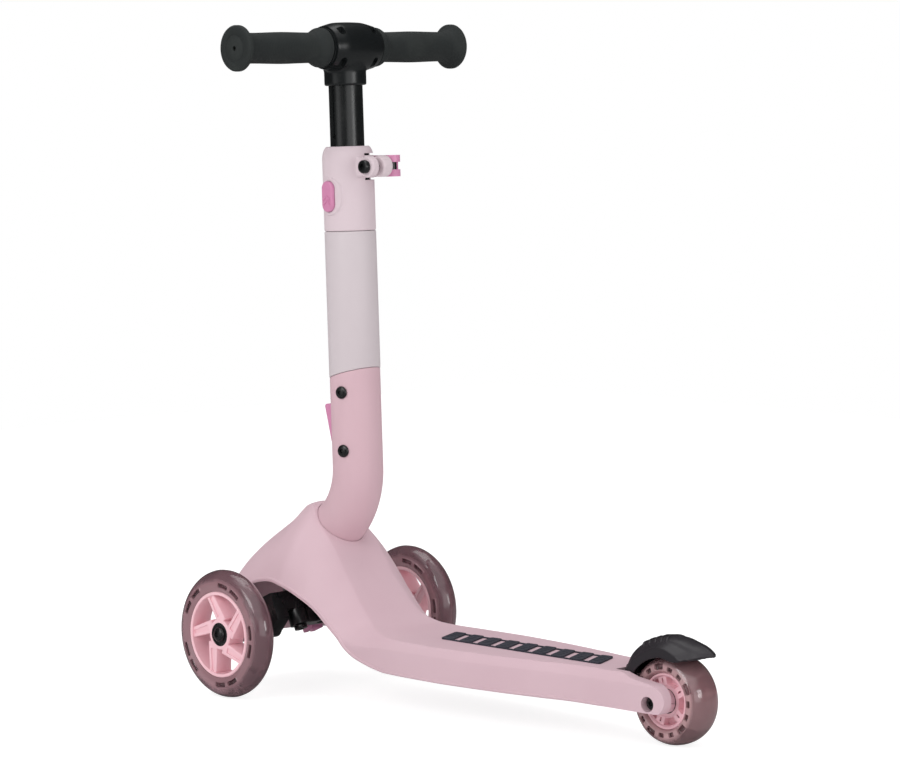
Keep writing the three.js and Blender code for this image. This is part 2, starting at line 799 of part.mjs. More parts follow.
/** A ring of points round the neck's centreline, at a place on the bend or above it. */
function neckRing(radiusX, radiusY, angle, rise) {
  const centre = new THREE.Vector3(
    0,
    neck.bendRadius * (1 - Math.cos(angle)) + Math.sin(angle) * (rise < 0 ? -rise : 0),
    -neck.bendRadius * Math.sin(angle) + (rise < 0 ? rise * Math.cos(angle) : rise),
  );
  const forward = new THREE.Vector3(0, Math.cos(angle), Math.sin(angle));
  return Array.from({ length: segments.medium }, (_, i) => {
    const turn = (2 * Math.PI * i) / segments.medium;
    return new THREE.Vector3(radiusX * Math.cos(turn), 0, 0)
      .addScaledVector(forward, radiusY * Math.sin(turn))
      .add(centre);
  });
}

/** The neck's skin or its hollow, drawn in by an inset, down to a depth below the seam with the hood. */
function neckBody(inset, depth, top) {
  const bend = neck.bendDegrees * degree;
  const lean = stemLeanDegrees * degree;
  const rings = [];
  const stemTop = neckRing(neck.radius - inset, neck.radius - inset, 0, 0)
    .map((point) => point.applyAxisAngle(new THREE.Vector3(1, 0, 0), -lean));
  const axis = new THREE.Vector3(0, Math.sin(lean), Math.cos(lean));
  rings.push(stemTop.map((point) => point.clone().addScaledVector(axis, top)));
  rings.push(stemTop);
  for (let i = 1; i <= segments.bend; i += 1) {
    const share = i / segments.bend;
    const radiusX = neck.radius + (neck.footRadiusX - neck.radius) * share - inset;
    const radiusY = neck.radius + (neck.footRadiusY - neck.radius) * share - inset;
    rings.push(neckRing(radiusX, radiusY, bend * share, 0));
  }
  rings.push(neckRing(neck.footRadiusX - inset, neck.footRadiusY - inset, bend, -depth));
  return loft(rings).translate(0, frontAxleY - neck.foot.back, neckBendHeight);
}

/** A frame that stands on the stem's axis, with the neck's bend at zero height. */
function stemGroup() {
  const group = new THREE.Group();
  group.position.set(0, frontAxleY - neck.foot.back, neckBendHeight);
  group.rotation.x = -stemLeanDegrees * degree;
  return group;
}

/** Places a geometry of the stem's frame in the scooter's frame. */
function intoStem(geometry) {
  return geometry
    .rotateX(-stemLeanDegrees * degree)
    .translate(0, frontAxleY - neck.foot.back, neckBendHeight);
}

/** Everything above the tilted seam between neck and stem, or below it. */
function seamCutter(above) {
  const size = stem.radius * 4;
  const box = above
    ? boxBetween([-size, -size, -clearance / 2], [size, size, size * 2])
    : boxBetween([-size, -size, -size * 2], [size, size, clearance / 2]);
  return box.rotateX(-seamTiltDegrees * degree).translate(0, 0, neck.straightLength);
}

/** Hole for a neck screw, from a place outside the neck to its axis. */
function neckScrewHole(outside, height) {
  return rodX(neckScrew.shankRadius + clearance, outside, 0, 0, height, segments.tiny)
    .rotateZ(neckScrew.turnDegrees * degree);
}

/** The curved lower tube that joins the stem to the deck. */
function neckTube() {
  const skin = solid(neckBody(0, neck.footDepth, neck.straightLength + neck.radius));
  const hollow = solid(neckBody(neck.wall, neck.footDepth - neck.footWall, neck.straightLength + neck.radius * 2));
  const screwHoles = Object.values(neckScrewHeights).map((height) => solid(intoStem(
    neckScrewHole(-neck.radius * 2, height),
  )));
  const buttonRoom = solid(intoStem(boxBetween(
    [-releaseButton.halfWidth - clearance, 0, releaseButton.bottom - clearance],
    [releaseButton.halfWidth + clearance, neck.radius * 2, releaseButton.top + clearance],
  )));
  const boltHole = solid(intoFoot(rodZ(socket.boltRadius + clearance / 3, -neck.footDepth - overrun, -neck.footWall, 0, 0,
    segments.small)));
  let body = skin.subtract(hollow).subtract(boltHole).subtract(buttonRoom);
  for (const hole of screwHoles) body = body.subtract(hole);
  body = body.subtract(solid(intoStem(seamCutter(true))));
  return piece('neck_tube', shapeOf(body), 'neckPink');
}

/** Bolt that draws the neck's foot down into its socket. */
function neckFootBolt() {
  const face = -neck.footDepth - clearance - socket.floor - clearance;
  const shank = rodZ(socket.boltRadius, face - clearance, -neck.footDepth + neck.footWall - overrun / 2, 0, 0, segments.small);
  const head = rodZ(socket.boltHeadRadius, face - socket.boltHeadHeight, face, 0, 0, segments.corner);
  return piece('neck_foot_bolt', intoFoot(shaped([shank, head])), 'blackSteel');
}

/** Guide sleeve inside the neck's straight part, open where the release button works. */
function neckSleeve() {
  const outer = neck.radius - neck.wall - clearance;
  const inner = spigot.radius + clearance;
  const top = neck.straightLength - sleeve.topDrop;
  const tube = spunZ([
    [inner, sleeve.bottom], [outer, sleeve.bottom], [outer, top], [inner, top],
  ], segments.medium);
  const screwHoles = Object.values(neckScrewHeights).map((height) => neckScrewHole(-neck.radius, height));
  return piece('neck_sleeve', shaped([tube], screwHoles), 'blackPlastic');
}

/** Domed screw through the side of the neck into its sleeve. */
function neckScrewAt(name, height) {
  const seat = -neck.radius - clearance / 2;
  const dome = [
    [0, -neckScrew.headHeight], [neckScrew.headRadius * 0.5, -neckScrew.headHeight],
    [neckScrew.headRadius * 0.86, -neckScrew.headHeight / 2], [neckScrew.headRadius, 0],
    [neckScrew.headRadius, clearance], [0, clearance],
  ];
  const head = spunX(dome, segments.small).translate(seat - clearance, 0, height);
  const tip = -spigot.radius - clearance * 2;
  const shank = rodX(neckScrew.shankRadius, seat - clearance, tip, 0, height, segments.tiny);
  const keyBottom = seat - neckScrew.headHeight / 2;
  const key = rodX(neckScrew.shankRadius * 0.8, -neck.radius * 2, keyBottom, 0, height, segments.corner);
  const screw = shaped([head, shank], [key]).rotateZ(neckScrew.turnDegrees * degree);
  return piece(name, screw, 'blackSteel');
}

/** Wedge-shaped button on the front of the neck that lets the stem be pulled out. */
function stemReleaseButton() {
  const back = neck.radius - releaseButton.inset + clearance;
  const outline = [
    [back, releaseButton.bottom],
    [releaseButton.reachBottom, releaseButton.bottom],
    [releaseButton.reachTop, releaseButton.top - clearance],
    [releaseButton.reachTop - clearance, releaseButton.top],
    [back, releaseButton.top],
  ];
  return piece('stem_release_button', slab(outline, -releaseButton.halfWidth, releaseButton.halfWidth), 'magenta');
}

/** Leaf spring behind the stem release button, seated on the sleeve. */
function releaseSpring() {
  const back = neck.radius - neck.wall - clearance / 2;
  const middle = (releaseButton.bottom + releaseButton.top) / 2;
  const leaf = boxBetween(
    [-releaseButton.leafHalfWidth, back, middle - releaseButton.leafHalfHeight],
    [releaseButton.leafHalfWidth, back + releaseButton.leafThickness, middle + releaseButton.leafHalfHeight],
  );
  return piece('stem_release_spring', leaf, 'steel');
}

// Stem

/** The pale middle tube between the neck and the collar. */
function stemTube() {
  const tube = spunZ([
    [stem.boreRadius, 0], [stem.radius, 0],
    [stem.radius, stem.collarBottom - clearance], [stem.boreRadius, stem.collarBottom - clearance],
  ], segments.medium);
  return piece('stem_tube', shaped([tube], [seamCutter(false)]), 'paleLilac');
}

/** The plug-in spigot below the stem, with its flange inside the stem tube. */
function stemSpigot() {
  const flangeBottom = neck.straightLength + stem.radius * Math.tan(seamTiltDegrees * degree) + clearance;
  const flangeTop = flangeBottom + spigot.plugLength;
  const flangeRadius = stem.boreRadius - clearance;
  const tube = spunZ([
    [spigot.boreRadius, spigot.bottom], [spigot.radius, spigot.bottom], [spigot.radius, flangeBottom],
    [flangeRadius, flangeBottom], [flangeRadius, flangeTop], [spigot.boreRadius, flangeTop],
  ], segments.medium);
  return piece('stem_spigot', tube, 'steel');
}

/** The collar with its clamp band, ears and button surround. */
function stemCollar() {
  const round = stem.shoulderRound;
  const tube = spunZ([
    [stem.boreRadius, stem.collarBottom], [stem.radius, stem.collarBottom],
    [stem.radius, collarTop - round * 2], [stem.radius - round * 0.3, collarTop - round * 0.7],
    [stem.radius - round * 0.8, collarTop], [stem.boreRadius - clearance, collarTop],
    [stem.boreRadius - clearance, collarTop - round / 2], [stem.boreRadius, collarTop - round / 2],
  ], segments.medium);
  const ear = slab([
    [-stem.boreRadius - clearance, clampHeight - clamp.earRadius],
    ...arc(-clamp.setback, clampHeight, clamp.earRadius, 270, 90, segments.bend),
    [-stem.boreRadius - clearance, clampHeight + clamp.earRadius],
  ], -clamp.earFaceX, clamp.earFaceX);
  const pad = plate(stadium(heightSurround.halfWidth, heightSurround.halfHeight), 0, stem.radius + heightSurround.proud)
    .rotateZ(Math.PI / 2).rotateY(-Math.PI / 2).translate(0, 0, heightButtonPlace);
  const bore = rodZ(stem.boreRadius, 0, collarTop - round / 2, 0, 0, segments.medium);
  const earGap = boxBetween(
    [-clamp.earGap, -clamp.setback * 2, clampHeight - clamp.bandHalfHeight],
    [clamp.earGap, 0, collarTop + overrun],
  );
  const slits = [-1, 1].map((sign) => {
    const z = clampHeight + sign * clamp.bandHalfHeight;
    const arcBack = -stem.radius * 0.2;
    return boxBetween(
      [-clamp.slitReach, -stem.radius * 2, z - clamp.slitHeight / 2],
      [stem.radius * 2, arcBack, z + clamp.slitHeight / 2],
    );
  });
  const boltHole = rodX(clamp.boltRadius + clearance, -stem.radius * 2, stem.radius * 2, -clamp.setback, clampHeight,
    segments.tiny);
  const buttonRoom = plate(stadium(heightButton.halfWidth + clearance, heightButton.halfHeight + clearance), 0, stem.radius * 2)
    .rotateZ(Math.PI / 2).rotateY(-Math.PI / 2).translate(0, 0, heightButtonPlace);
  const body = shaped([tube, ear, pad], [bore, earGap, ...slits, boltHole, buttonRoom]);
  return piece('stem_collar', body, 'palePink');
}

/** Split liner that the slide tube runs in; it also lines up collar and stem tube. */
function collarLiner() {
  const outer = stem.boreRadius - clearance;
  const inner = slideTube.radius + clearance;
  const top = collarTop - stem.shoulderRound / 2 - clearance;
  const bottom = stem.collarBottom - liner.reachBelow;
  const tube = spunZ([[inner, bottom], [outer, bottom], [outer, top], [inner, top]], segments.medium);
  const slit = boxBetween([-liner.slitWidth / 2, -stem.radius, bottom + stem.radius], [liner.slitWidth / 2, 0, top + overrun]);
  const pinHole = rodX(heightButton.pinRadius + clearance * 2, -stem.radius, 0, 0, heightButtonPlace, segments.tiny);
  return piece('collar_liner', shaped([tube], [slit, pinHole]), 'blackPlastic');
}

/** Height catch: the oval button on the rider's left, with its pin. */
function heightCatch() {
  const face = stem.radius + heightButton.proud;
  const cap = plate(stadium(heightButton.halfWidth, heightButton.halfHeight), face - heightButton.depth, face)
    .rotateZ(Math.PI / 2).rotateY(-Math.PI / 2).translate(0, 0, heightButtonPlace);
  const pinTip = slideTube.radius + clearance + heightButton.travel + clearance;
  const pin = rodX(heightButton.pinRadius, -face + heightButton.depth / 2, -pinTip, 0, heightButtonPlace, segments.tiny);
  return piece('height_button', shaped([cap, pin]), 'magenta');
}

/** Wave spring behind the height button, seated on the liner round the button's pin. */
function heightSpring() {
  const back = -stem.boreRadius + clearance / 2;
  const inner = heightButton.pinRadius + clearance;
  const outer = inner + heightButton.pinRadius / 2;
  const front = back - heightButton.springLength;
  const ring = spunX([[inner, front], [outer, front], [outer, back], [inner, back]], segments.tiny);
  return piece('height_button_spring', ring.translate(0, 0, heightButtonPlace), 'steel');
}

/** Clamp bolt across the ears, with its head on the rider's left. */
function clampBolt() {
  const face = clamp.earFaceX + clearance;
  const shank = rodX(clamp.boltRadius, -face - clearance, clamp.pivotX - clamp.pivotRadius / 2, -clamp.setback, clampHeight,
    segments.tiny);
  const head = rodX(clamp.headRadius, -face - clamp.headLength, -face, -clamp.setback, clampHeight, segments.small);
  const key = rodX(clamp.headRadius / 2, -face - clamp.headLength - overrun, -face - clamp.headLength / 2, -clamp.setback,
    clampHeight, segments.corner);
  const pivot = rodZ(clamp.pivotRadius, clampHeight - clamp.leverHalfHeight, clampHeight + clamp.leverHalfHeight,
    clamp.pivotX, -clamp.setback, segments.small);
  return piece('clamp_bolt', shaped([shank, head, pivot], [key]), 'blackSteel');
}

/** Quick-release lever: a forked cam on the clamp bolt's cross pin, with its arm along the collar. */
function clampLever() {
  const pivotY = -clamp.setback;
  const low = clampHeight - clamp.leverHalfHeight;
  const high = clampHeight + clamp.leverHalfHeight;
  const armInner = clamp.pivotX + clamp.camRadius - clamp.leverArmThickness;
  const armOuter = clamp.pivotX + clamp.camRadius;
  const armEndY = pivotY + clamp.leverArmLength;
  const cam = rodZ(clamp.camRadius, low, high, clamp.pivotX, pivotY, segments.small);
  const arm = plate([
    [armInner, pivotY], [armOuter, pivotY], [armOuter, armEndY - clamp.leverArmThickness],
    [armOuter - clamp.leverArmThickness / 2, armEndY], [armInner, armEndY],
  ], low, high);
  const pinHole = rodZ(clamp.pivotRadius + clearance, low - overrun, high + overrun, clamp.pivotX, pivotY, segments.small);
  const boltSlot = boxBetween(
    [clamp.pivotX - clamp.camRadius * 2, pivotY - clamp.camRadius * 2, clampHeight - clamp.forkSlot / 2],
    [clamp.pivotX + clamp.pivotRadius, pivotY + clamp.camRadius * 2, clampHeight + clamp.forkSlot / 2],
  );
  const openSlot = boxBetween(
    [clamp.pivotX - clamp.camRadius * 2, pivotY - clamp.camRadius * 2, clampHeight - clamp.forkSlot / 2],
    [clamp.pivotX + clamp.camRadius * 2, pivotY, clampHeight + clamp.forkSlot / 2],
  );
  return piece('clamp_lever', shaped([cam, arm], [pinHole, boltSlot, openSlot]), 'magenta');
}

// Handle

/** The black tube that slides in the collar and carries the handlebar. */
function handleSlideTube() {
  const top = hubBottom + slideTube.socketDepth;
  const bottom = stem.collarBottom - slideTube.reachBelow;
  const tube = spunZ([
    [slideTube.boreRadius, bottom], [slideTube.radius, bottom],
    [slideTube.radius, top], [slideTube.boreRadius, top],
  ], segments.medium);
  return piece('slide_tube', tube, 'blackSteel');
}

/** The T-shaped hub that holds the handlebar across the slide tube. */
function handleHub() {
  const y = -handle.setback;
  const end = handle.hubHalfLength;
  const barrel = spunX([
    [0, -end], [handle.hubEndRadius, -end], [handle.hubEndRadius, -end * 0.9], [handle.hubRadius, -end * 0.55],
    [handle.hubRadius, end * 0.55], [handle.hubEndRadius, end * 0.9], [handle.hubEndRadius, end], [0, end],
  ], segments.medium).translate(0, y, handleHeight);
  const leg = rodZ(handle.hubNeckRadius, hubBottom, handleHeight, 0, 0, segments.medium);
  const barBore = rodX(handle.barRadius + clearance, -end - overrun, end + overrun, y, handleHeight, segments.medium);
  const tubeBore = rodZ(slideTube.radius + clearance, hubBottom - overrun,
    hubBottom + slideTube.socketDepth + clearance, 0, 0, segments.medium);
  const screwHoles = sides.flatMap(({ sign }) => [-1, 1].map((rise) => rodY(
    handle.hubHoleRadius, y - handle.hubRadius - overrun, y - handle.hubRadius + handle.hubHoleDepth + overrun,
    sign * handle.hubHoleX, handleHeight + rise * handle.hubHoleRise, segments.tiny,
  )));
  return piece('handle_hub', shaped([barrel, leg], [barBore, tubeBore, ...screwHoles]), 'blackPlastic');
}

/** Steel bar through the hub, under both grips. */
function handleBar() {
  const tube = spunX([
    [handle.barBoreRadius, -handle.barHalfLength], [handle.barRadius, -handle.barHalfLength],
    [handle.barRadius, handle.barHalfLength], [handle.barBoreRadius, handle.barHalfLength],
  ], segments.medium);
  return piece('handle_bar', tube.translate(0, -handle.setback, handleHeight), 'blackSteel');
}

/** Rubber grip with a conical inner flange and a mushroom end. */
function grip(name, sign) {
  const bore = handle.barRadius + clearance;
  const inner = handle.hubHalfLength + clearance;
  const end = handle.gripEnd;
  const ventRadius = bore * 0.2;
  const run = end - inner;
  const profile = [
    [bore, inner], [handle.flangeRadius, inner], [handle.flangeRadius, inner + run * 0.035],
    [handle.gripWaist, inner + run * 0.14], [handle.gripRadius, inner + run * 0.45],
    [handle.gripWaist, inner + run * 0.8], [handle.gripRadius + run * 0.01, inner + run * 0.87],
    [handle.discRadius, inner + run * 0.965], [handle.discRadius * 0.95, inner + run * 0.99],
    [handle.discRadius * 0.6, end], [ventRadius, end], [ventRadius, handle.barHalfLength + clearance],
    [bore, handle.barHalfLength + clearance],
  ];
  const rubber = spunX(profile.map(([radius, x]) => [radius, sign * x]), segments.medium);
  return piece(name, rubber.translate(0, -handle.setback, handleHeight), 'blackRubber');
}

// Wheels

/** Window between two spokes, as a closed outline round the hub. */
function windowOutline(wheel, index) {
  const inner = wheel.hubRadius + wheel.barrelWall * 0.8;
  const outer = wheel.rimRadius - wheel.barrelWall * 1.7;
  const pitch = 360 / wheel.spokeCount;
  const gapAt = (radius) => Math.asin(wheel.spokeHalfWidth / radius) / degree;
  const start = pitch * index + wheel.spokePhaseDegrees;
  const innerArc = arc(0, 0, inner, start + gapAt(inner), start + pitch - gapAt(inner), segments.hubSide);
  const outerArc = arc(0, 0, outer, start + pitch - gapAt(outer) + wheel.spokeSweepDegrees,
    start + gapAt(outer) + wheel.spokeSweepDegrees, segments.corner);
  return [...innerArc, ...outerArc];
}

/** Rim with barrel, spoked web and bearing seats, centred on its own axle along X. */
function rimShape(wheel) {
  const barrelInner = wheel.rimRadius - wheel.barrelWall;
  const barrel = spunX([
    [barrelInner, -wheel.rimHalfWidth], [wheel.rimRadius, -wheel.rimHalfWidth],
    [wheel.rimRadius, wheel.rimHalfWidth], [barrelInner, wheel.rimHalfWidth],
  ], segments.large);
  const windows = Array.from({ length: wheel.spokeCount }, (_, i) => windowOutline(wheel, i).reverse());
  const disc = arc(0, 0, wheel.rimRadius - wheel.barrelWall / 2, 0, 360, segments.large).slice(0, -1);
  const web = plate(disc, -wheel.webHalfThickness, wheel.webHalfThickness, windows).rotateY(Math.PI / 2);
  const hub = rodX(wheel.hubRadius, -wheel.hubHalfLength, wheel.hubHalfLength, 0, 0, segments.medium);
  const seatDepth = bearing.width + clearance;
  const seats = sides.map(({ sign }) => onSide(rodX(bearing.outerRadius + clearance / 3,
    wheel.hubHalfLength - seatDepth, wheel.hubHalfLength + overrun, 0, 0, segments.medium), sign));
  const bore = rodX(bearing.hubBoreRadius, -wheel.hubHalfLength, wheel.hubHalfLength, 0, 0, segments.medium);
  return shaped([barrel, web, hub], [...seats, bore]);
}

// Tyre section from the rim outwards: height as a share of the tread's depth, half width as a share of the tyre's.
const frontTyreShares = [[0, 0.9], [0.28, 1], [0.62, 0.9], [0.9, 0.5]];
const rearTyreShares = [[0, 0.86], [0.16, 1], [0.45, 0.99], [0.75, 0.82], [0.94, 0.44]];

/** Tyre centred on its own axle along X. */
function tyreShape(wheel, sectionShares) {
  const seat = wheel.rimRadius + clearance;
  const depth = wheel.radius - seat;
  const half = sectionShares.map(([up, out]) => [seat + depth * up, wheel.tyreHalfWidth * out]);
  const mirrored = half.map(([radius, x]) => [radius, -x]).reverse();
  return spunX([...half, [wheel.radius, 0], ...mirrored], segments.large);
}

/** Ball bearing centred on its own axis along X. */
function bearingShape() {
  const half = bearing.width / 2;
  return spunX([
    [bearing.boreRadius, -half], [bearing.outerRadius, -half], [bearing.outerRadius, half], [bearing.boreRadius, half],
  ], segments.medium);
}

/** Rim, tyre and two bearings of one wheel. */
function wheelPieces(prefix, wheel, sectionShares, centre) {
  const offset = wheel.hubHalfLength - bearing.width / 2;
  const parts = [
    piece(`${prefix}_rim`, rimShape(wheel), 'rimPink'),
    piece(`${prefix}_tyre`, tyreShape(wheel, sectionShares), 'smokyTyre'),
    piece(`${prefix}_bearing_left`, bearingShape().translate(-offset, 0, 0), 'steel'),
    piece(`${prefix}_bearing_right`, bearingShape().translate(offset, 0, 0), 'steel'),
  ];
  for (const part of parts) part.position.copy(centre);
  return parts;
}

/** Shoulder bolt that carries a front wheel on its knuckle. */
function frontAxleBolt(name, sign) {
  const face = halfTrack + frontWheel.hubHalfLength + clearance;
  const headEnd = face + wheelBolt.headLength;
  const shank = rodX(wheelBolt.radius, face - wheelBolt.length, face + clearance, frontAxleY, frontWheel.radius, segments.small);
  const head = rodX(wheelBolt.headRadius, face, headEnd, frontAxleY, frontWheel.radius, segments.medium);
  const key = rodX(wheelBolt.headRadius / 2, face + wheelBolt.headLength / 2, headEnd + overrun, frontAxleY,
    frontWheel.radius, segments.corner);
  return piece(name, onSide(shaped([shank, head], [key]), sign), 'blackSteel');
}

// Front mechanism, with the place of the front axle in the tilted frame
const tilt = kingpin.tiltDegrees * degree;
const axleAhead = kingpin.setback;
const axleRise = frontWheel.radius - kingpin.height;
const axleInBeam = {
  y: axleAhead * Math.cos(tilt) - axleRise * Math.sin(tilt),
  z: axleAhead * Math.sin(tilt) + axleRise * Math.cos(tilt),
};

/** A frame tilted with the kingpins, centred between them. */
function mechanismGroup() {
  const group = new THREE.Group();
  group.position.set(0, frontAxleY - kingpin.setback, kingpin.height);
  group.rotation.x = -tilt;
  return group;
}

/** Fixed beam: a centre block under the hood's columns, a barrel at each kingpin and a tongue for the lock. */
function frontBeam() {
  const bottom = -beam.barrelLength;
  const barrels = sides.map(({ sign }) => rodZ(beam.barrelRadius, bottom, 0, sign * kingpin.spacing, 0, segments.medium));
  const span = boxBetween(
    [-kingpin.spacing, -beam.barrelRadius * 0.75, bottom],
    [kingpin.spacing, beam.barrelRadius * 0.75, -clearance * 2],
  );
  const block = boxBetween(
    [-beam.blockHalfWidth, -beam.blockRear, bottom],
    [beam.blockHalfWidth, beam.blockFront, beam.blockTop],
  );
  const tongue = boxBetween(
    [-beam.tongueHalfWidth, 0, -beam.tongueTop - beam.tongueThickness],
    [beam.tongueHalfWidth, beam.tongueFront, -beam.tongueTop],
  );
  const kingpinHoles = sides.map(({ sign }) => rodZ(kingpin.radius + clearance, bottom - overrun, overrun,
    sign * kingpin.spacing, 0, segments.small));
  const screwHoles = sides.map(({ sign }) => rodZ(beam.screwRadius + clearance, bottom - overrun, beam.blockTop + overrun,
    sign * beam.columnX, 0, segments.tiny));
  const headRooms = sides.map(({ sign }) => rodZ(beam.screwHeadRadius + clearance, bottom - overrun, 0,
    sign * beam.columnX, 0, segments.tiny));
  const lockSlot = boxBetween(
    [-steeringLock.postHalfWidth - clearance, steeringLock.postRear - steeringLock.travel - clearance, bottom],
    [steeringLock.postHalfWidth + clearance, steeringLock.postFront + clearance, clearance],
  );
  const cuts = [...kingpinHoles, ...screwHoles, ...headRooms, lockSlot];
  return piece('front_beam', shaped([...barrels, span, block, tongue], cuts), 'blackPlastic');
}

/** Screw that holds the beam to a column under the hood. */
function beamScrew(name, sign) {
  const x = sign * beam.columnX;
  const shank = rodZ(beam.screwRadius, -clearance * 2, beam.blockTop * 1.8, x, 0, segments.tiny);
  const head = rodZ(beam.screwHeadRadius, -clearance - beam.screwHeadHeight, -clearance, x, 0, segments.tiny);
  return piece(name, shaped([shank, head]), 'blackSteel');
}

/** Kingpin: a pin with a keyed head below the beam and a riveted cap above the knuckle's spring. */
function kingpinRivet(name, sign) {
  const x = sign * kingpin.spacing;
  const headTop = -beam.barrelLength - clearance;
  const capBottom = knuckle.barrelLength + returnSpring.height + clearance * 3;
  const shank = rodZ(kingpin.radius, headTop - clearance, capBottom + clearance, x, 0, segments.small);
  const head = rodZ(kingpin.headRadius, headTop - kingpin.headHeight, headTop, x, 0, segments.small);
  const cap = rodZ(kingpin.headRadius, capBottom, capBottom + kingpin.capHeight, x, 0, segments.small, kingpin.radius);
  const key = rodZ(kingpin.headRadius / 2, headTop - kingpin.headHeight - overrun, headTop - kingpin.headHeight / 2, x, 0,
    segments.corner);
  return piece(name, shaped([shank, head, cap], [key]), 'blackSteel');
}

/** Steering knuckle: kingpin barrel, wheel boss and the arm to the tie rod. */
function knuckleShape(sign) {
  const low = clearance;
  const high = low + knuckle.barrelLength;
  const barrel = rodZ(knuckle.barrelRadius, low, high, kingpin.spacing, 0, segments.medium);
  const bossEnd = halfTrack - frontWheel.hubHalfLength - clearance;
  const boss = rodX(knuckle.bossRadius, knuckle.bossInnerX, bossEnd, axleInBeam.y, axleInBeam.z, segments.medium);
  const armBottom = axleInBeam.z - knuckle.bossRadius;
  const shoulderX = knuckle.bossInnerX + knuckle.armThickness;
  const arm = slab([
    [-knuckle.barrelRadius * 0.8, low], [knuckle.barrelRadius * 0.9, low],
    [knuckle.barrelRadius * 0.9, high], [-knuckle.barrelRadius * 0.8, high],
  ], kingpin.spacing, knuckle.bossInnerX + clearance);
  const drop = slab([
    [-knuckle.barrelRadius * 0.8, high], [-knuckle.barrelRadius * 0.8, low - knuckle.barrelRadius],
    [axleInBeam.y - knuckle.bossRadius * 0.7, armBottom + knuckle.bossRadius * 0.3], [axleInBeam.y, armBottom],
    [axleInBeam.y + knuckle.bossRadius, axleInBeam.z], [knuckle.barrelRadius * 0.9, high],
  ], knuckle.bossInnerX, shoulderX);
  const steerLow = knuckle.steerArmBottom;
  const steerHigh = steerLow + knuckle.steerArmThickness;
  const armHalf = knuckle.steerArmHalfWidth;
  const steerArm = plate([
    ...arc(kingpin.spacing, tieRod.pinAhead, armHalf, 0, 180, segments.corner),
    [kingpin.spacing - armHalf, 0], [kingpin.spacing + armHalf, 0],
  ], steerLow, steerHigh);
  const bore = rodZ(kingpin.radius + clearance, -overrun, high + overrun, kingpin.spacing, 0, segments.small);
  const boltTip = halfTrack + frontWheel.hubHalfLength - wheelBolt.length;
  const axleHole = rodX(wheelBolt.radius + clearance / 3, boltTip, halfTrack, axleInBeam.y, axleInBeam.z, segments.small);
  const pinHole = rodZ(tieRod.pinRadius + clearance / 3, steerLow - overrun, steerHigh + overrun, kingpin.spacing, tieRod.pinAhead,
    segments.tiny);
  const body = shaped([barrel, boss, arm, drop, steerArm], [bore, axleHole, pinHole]);
  return onSide(body, sign);
}

/** The centreline of the centring spring: its turns, with a short straight end before and after them. */
function springLine() {
  const wire = returnSpring.wireRadius;
  const start = knuckle.barrelLength + clearance * 2 + wire;
  const rise = returnSpring.height - wire * 2;
  const steps = returnSpring.turns * coilShape.stepsPerTurn;
  const turned = (i) => (2 * Math.PI * returnSpring.turns * i) / steps;
  const placeAt = (i, outward, ahead) => outward.clone()
    .multiplyScalar(returnSpring.coilRadius)
    .addScaledVector(new THREE.Vector3(-outward.y, outward.x, 0), ahead)
    .setZ(start + (rise * i) / steps);
  const pointAt = (i, ahead = 0) => {
    const outward = new THREE.Vector3(Math.cos(turned(i)), Math.sin(turned(i)), 0);
    return { outward, centre: placeAt(i, outward, ahead) };
  };
  const turns = Array.from({ length: steps + 1 }, (_, i) => pointAt(i));
  return [pointAt(0, -wire * 2), ...turns, pointAt(steps, wire * 2)];
}

/** The least gap between a coil's turns, measured between points at least half a turn apart. */
function leastCoilGap(line, wireRadius) {
  const apart = coilShape.stepsPerTurn / 2;
  let least = Infinity;
  line.forEach(({ centre }, i) => {
    for (const other of line.slice(i + apart)) least = Math.min(least, centre.distanceTo(other.centre));
  });
  return least - wireRadius * 2;
}

/** Torsion spring round the top of a kingpin, which turns the knuckle back to straight ahead. */
function centringSpring(name, sign) {
  const line = springLine();
  const gap = leastCoilGap(line, returnSpring.wireRadius);
  console.log(`${name}: least gap to itself ${gap.toFixed(2)} mm`);
  const rings = line.map(({ centre, outward }) => Array.from({ length: coilShape.wireSides }, (_, i) => {
    const around = (2 * Math.PI * i) / coilShape.wireSides;
    return centre.clone()
      .addScaledVector(outward, returnSpring.wireRadius * Math.cos(around))
      .add(new THREE.Vector3(0, 0, returnSpring.wireRadius * Math.sin(around)));
  }));
  return piece(name, loft(rings).translate(sign * kingpin.spacing, 0, 0), 'steel');
}

/** Flat tie rod between the two steering arms, with play round its pins. */
function tieRodPiece() {
  const low = knuckle.steerArmBottom + knuckle.steerArmThickness + clearance;
  const high = low + tieRod.thickness;
  const bar = boxBetween([-kingpin.spacing, tieRod.pinAhead - tieRod.halfWidth, low], [kingpin.spacing, tieRod.pinAhead + tieRod.halfWidth, high]);
  const eyes = sides.map(({ sign }) => rodZ(tieRod.eyeRadius, low, high, sign * kingpin.spacing, tieRod.pinAhead, segments.small));
  const holes = sides.map(({ sign }) => rodZ(tieRod.pinRadius + tieRod.pinPlay, low - overrun, high + overrun,
    sign * kingpin.spacing, tieRod.pinAhead, segments.small));
  return piece('tie_rod', shaped([bar, ...eyes], holes), 'blackPlastic');
}

/** Headed pin that stands in a steering arm and carries the tie rod's eye. */
function tieRodPin(name, sign) {
  const rodTop = knuckle.steerArmBottom + knuckle.steerArmThickness + clearance + tieRod.thickness;
  const headBottom = rodTop + clearance;
  const shank = rodZ(tieRod.pinRadius, knuckle.steerArmBottom, headBottom + clearance, sign * kingpin.spacing, tieRod.pinAhead,
    segments.tiny);
  const head = rodZ(tieRod.pinHead, headBottom, headBottom + tieRod.pinRadius, sign * kingpin.spacing, tieRod.pinAhead, segments.small);
  return piece(name, shaped([shank, head]), 'steel');
}

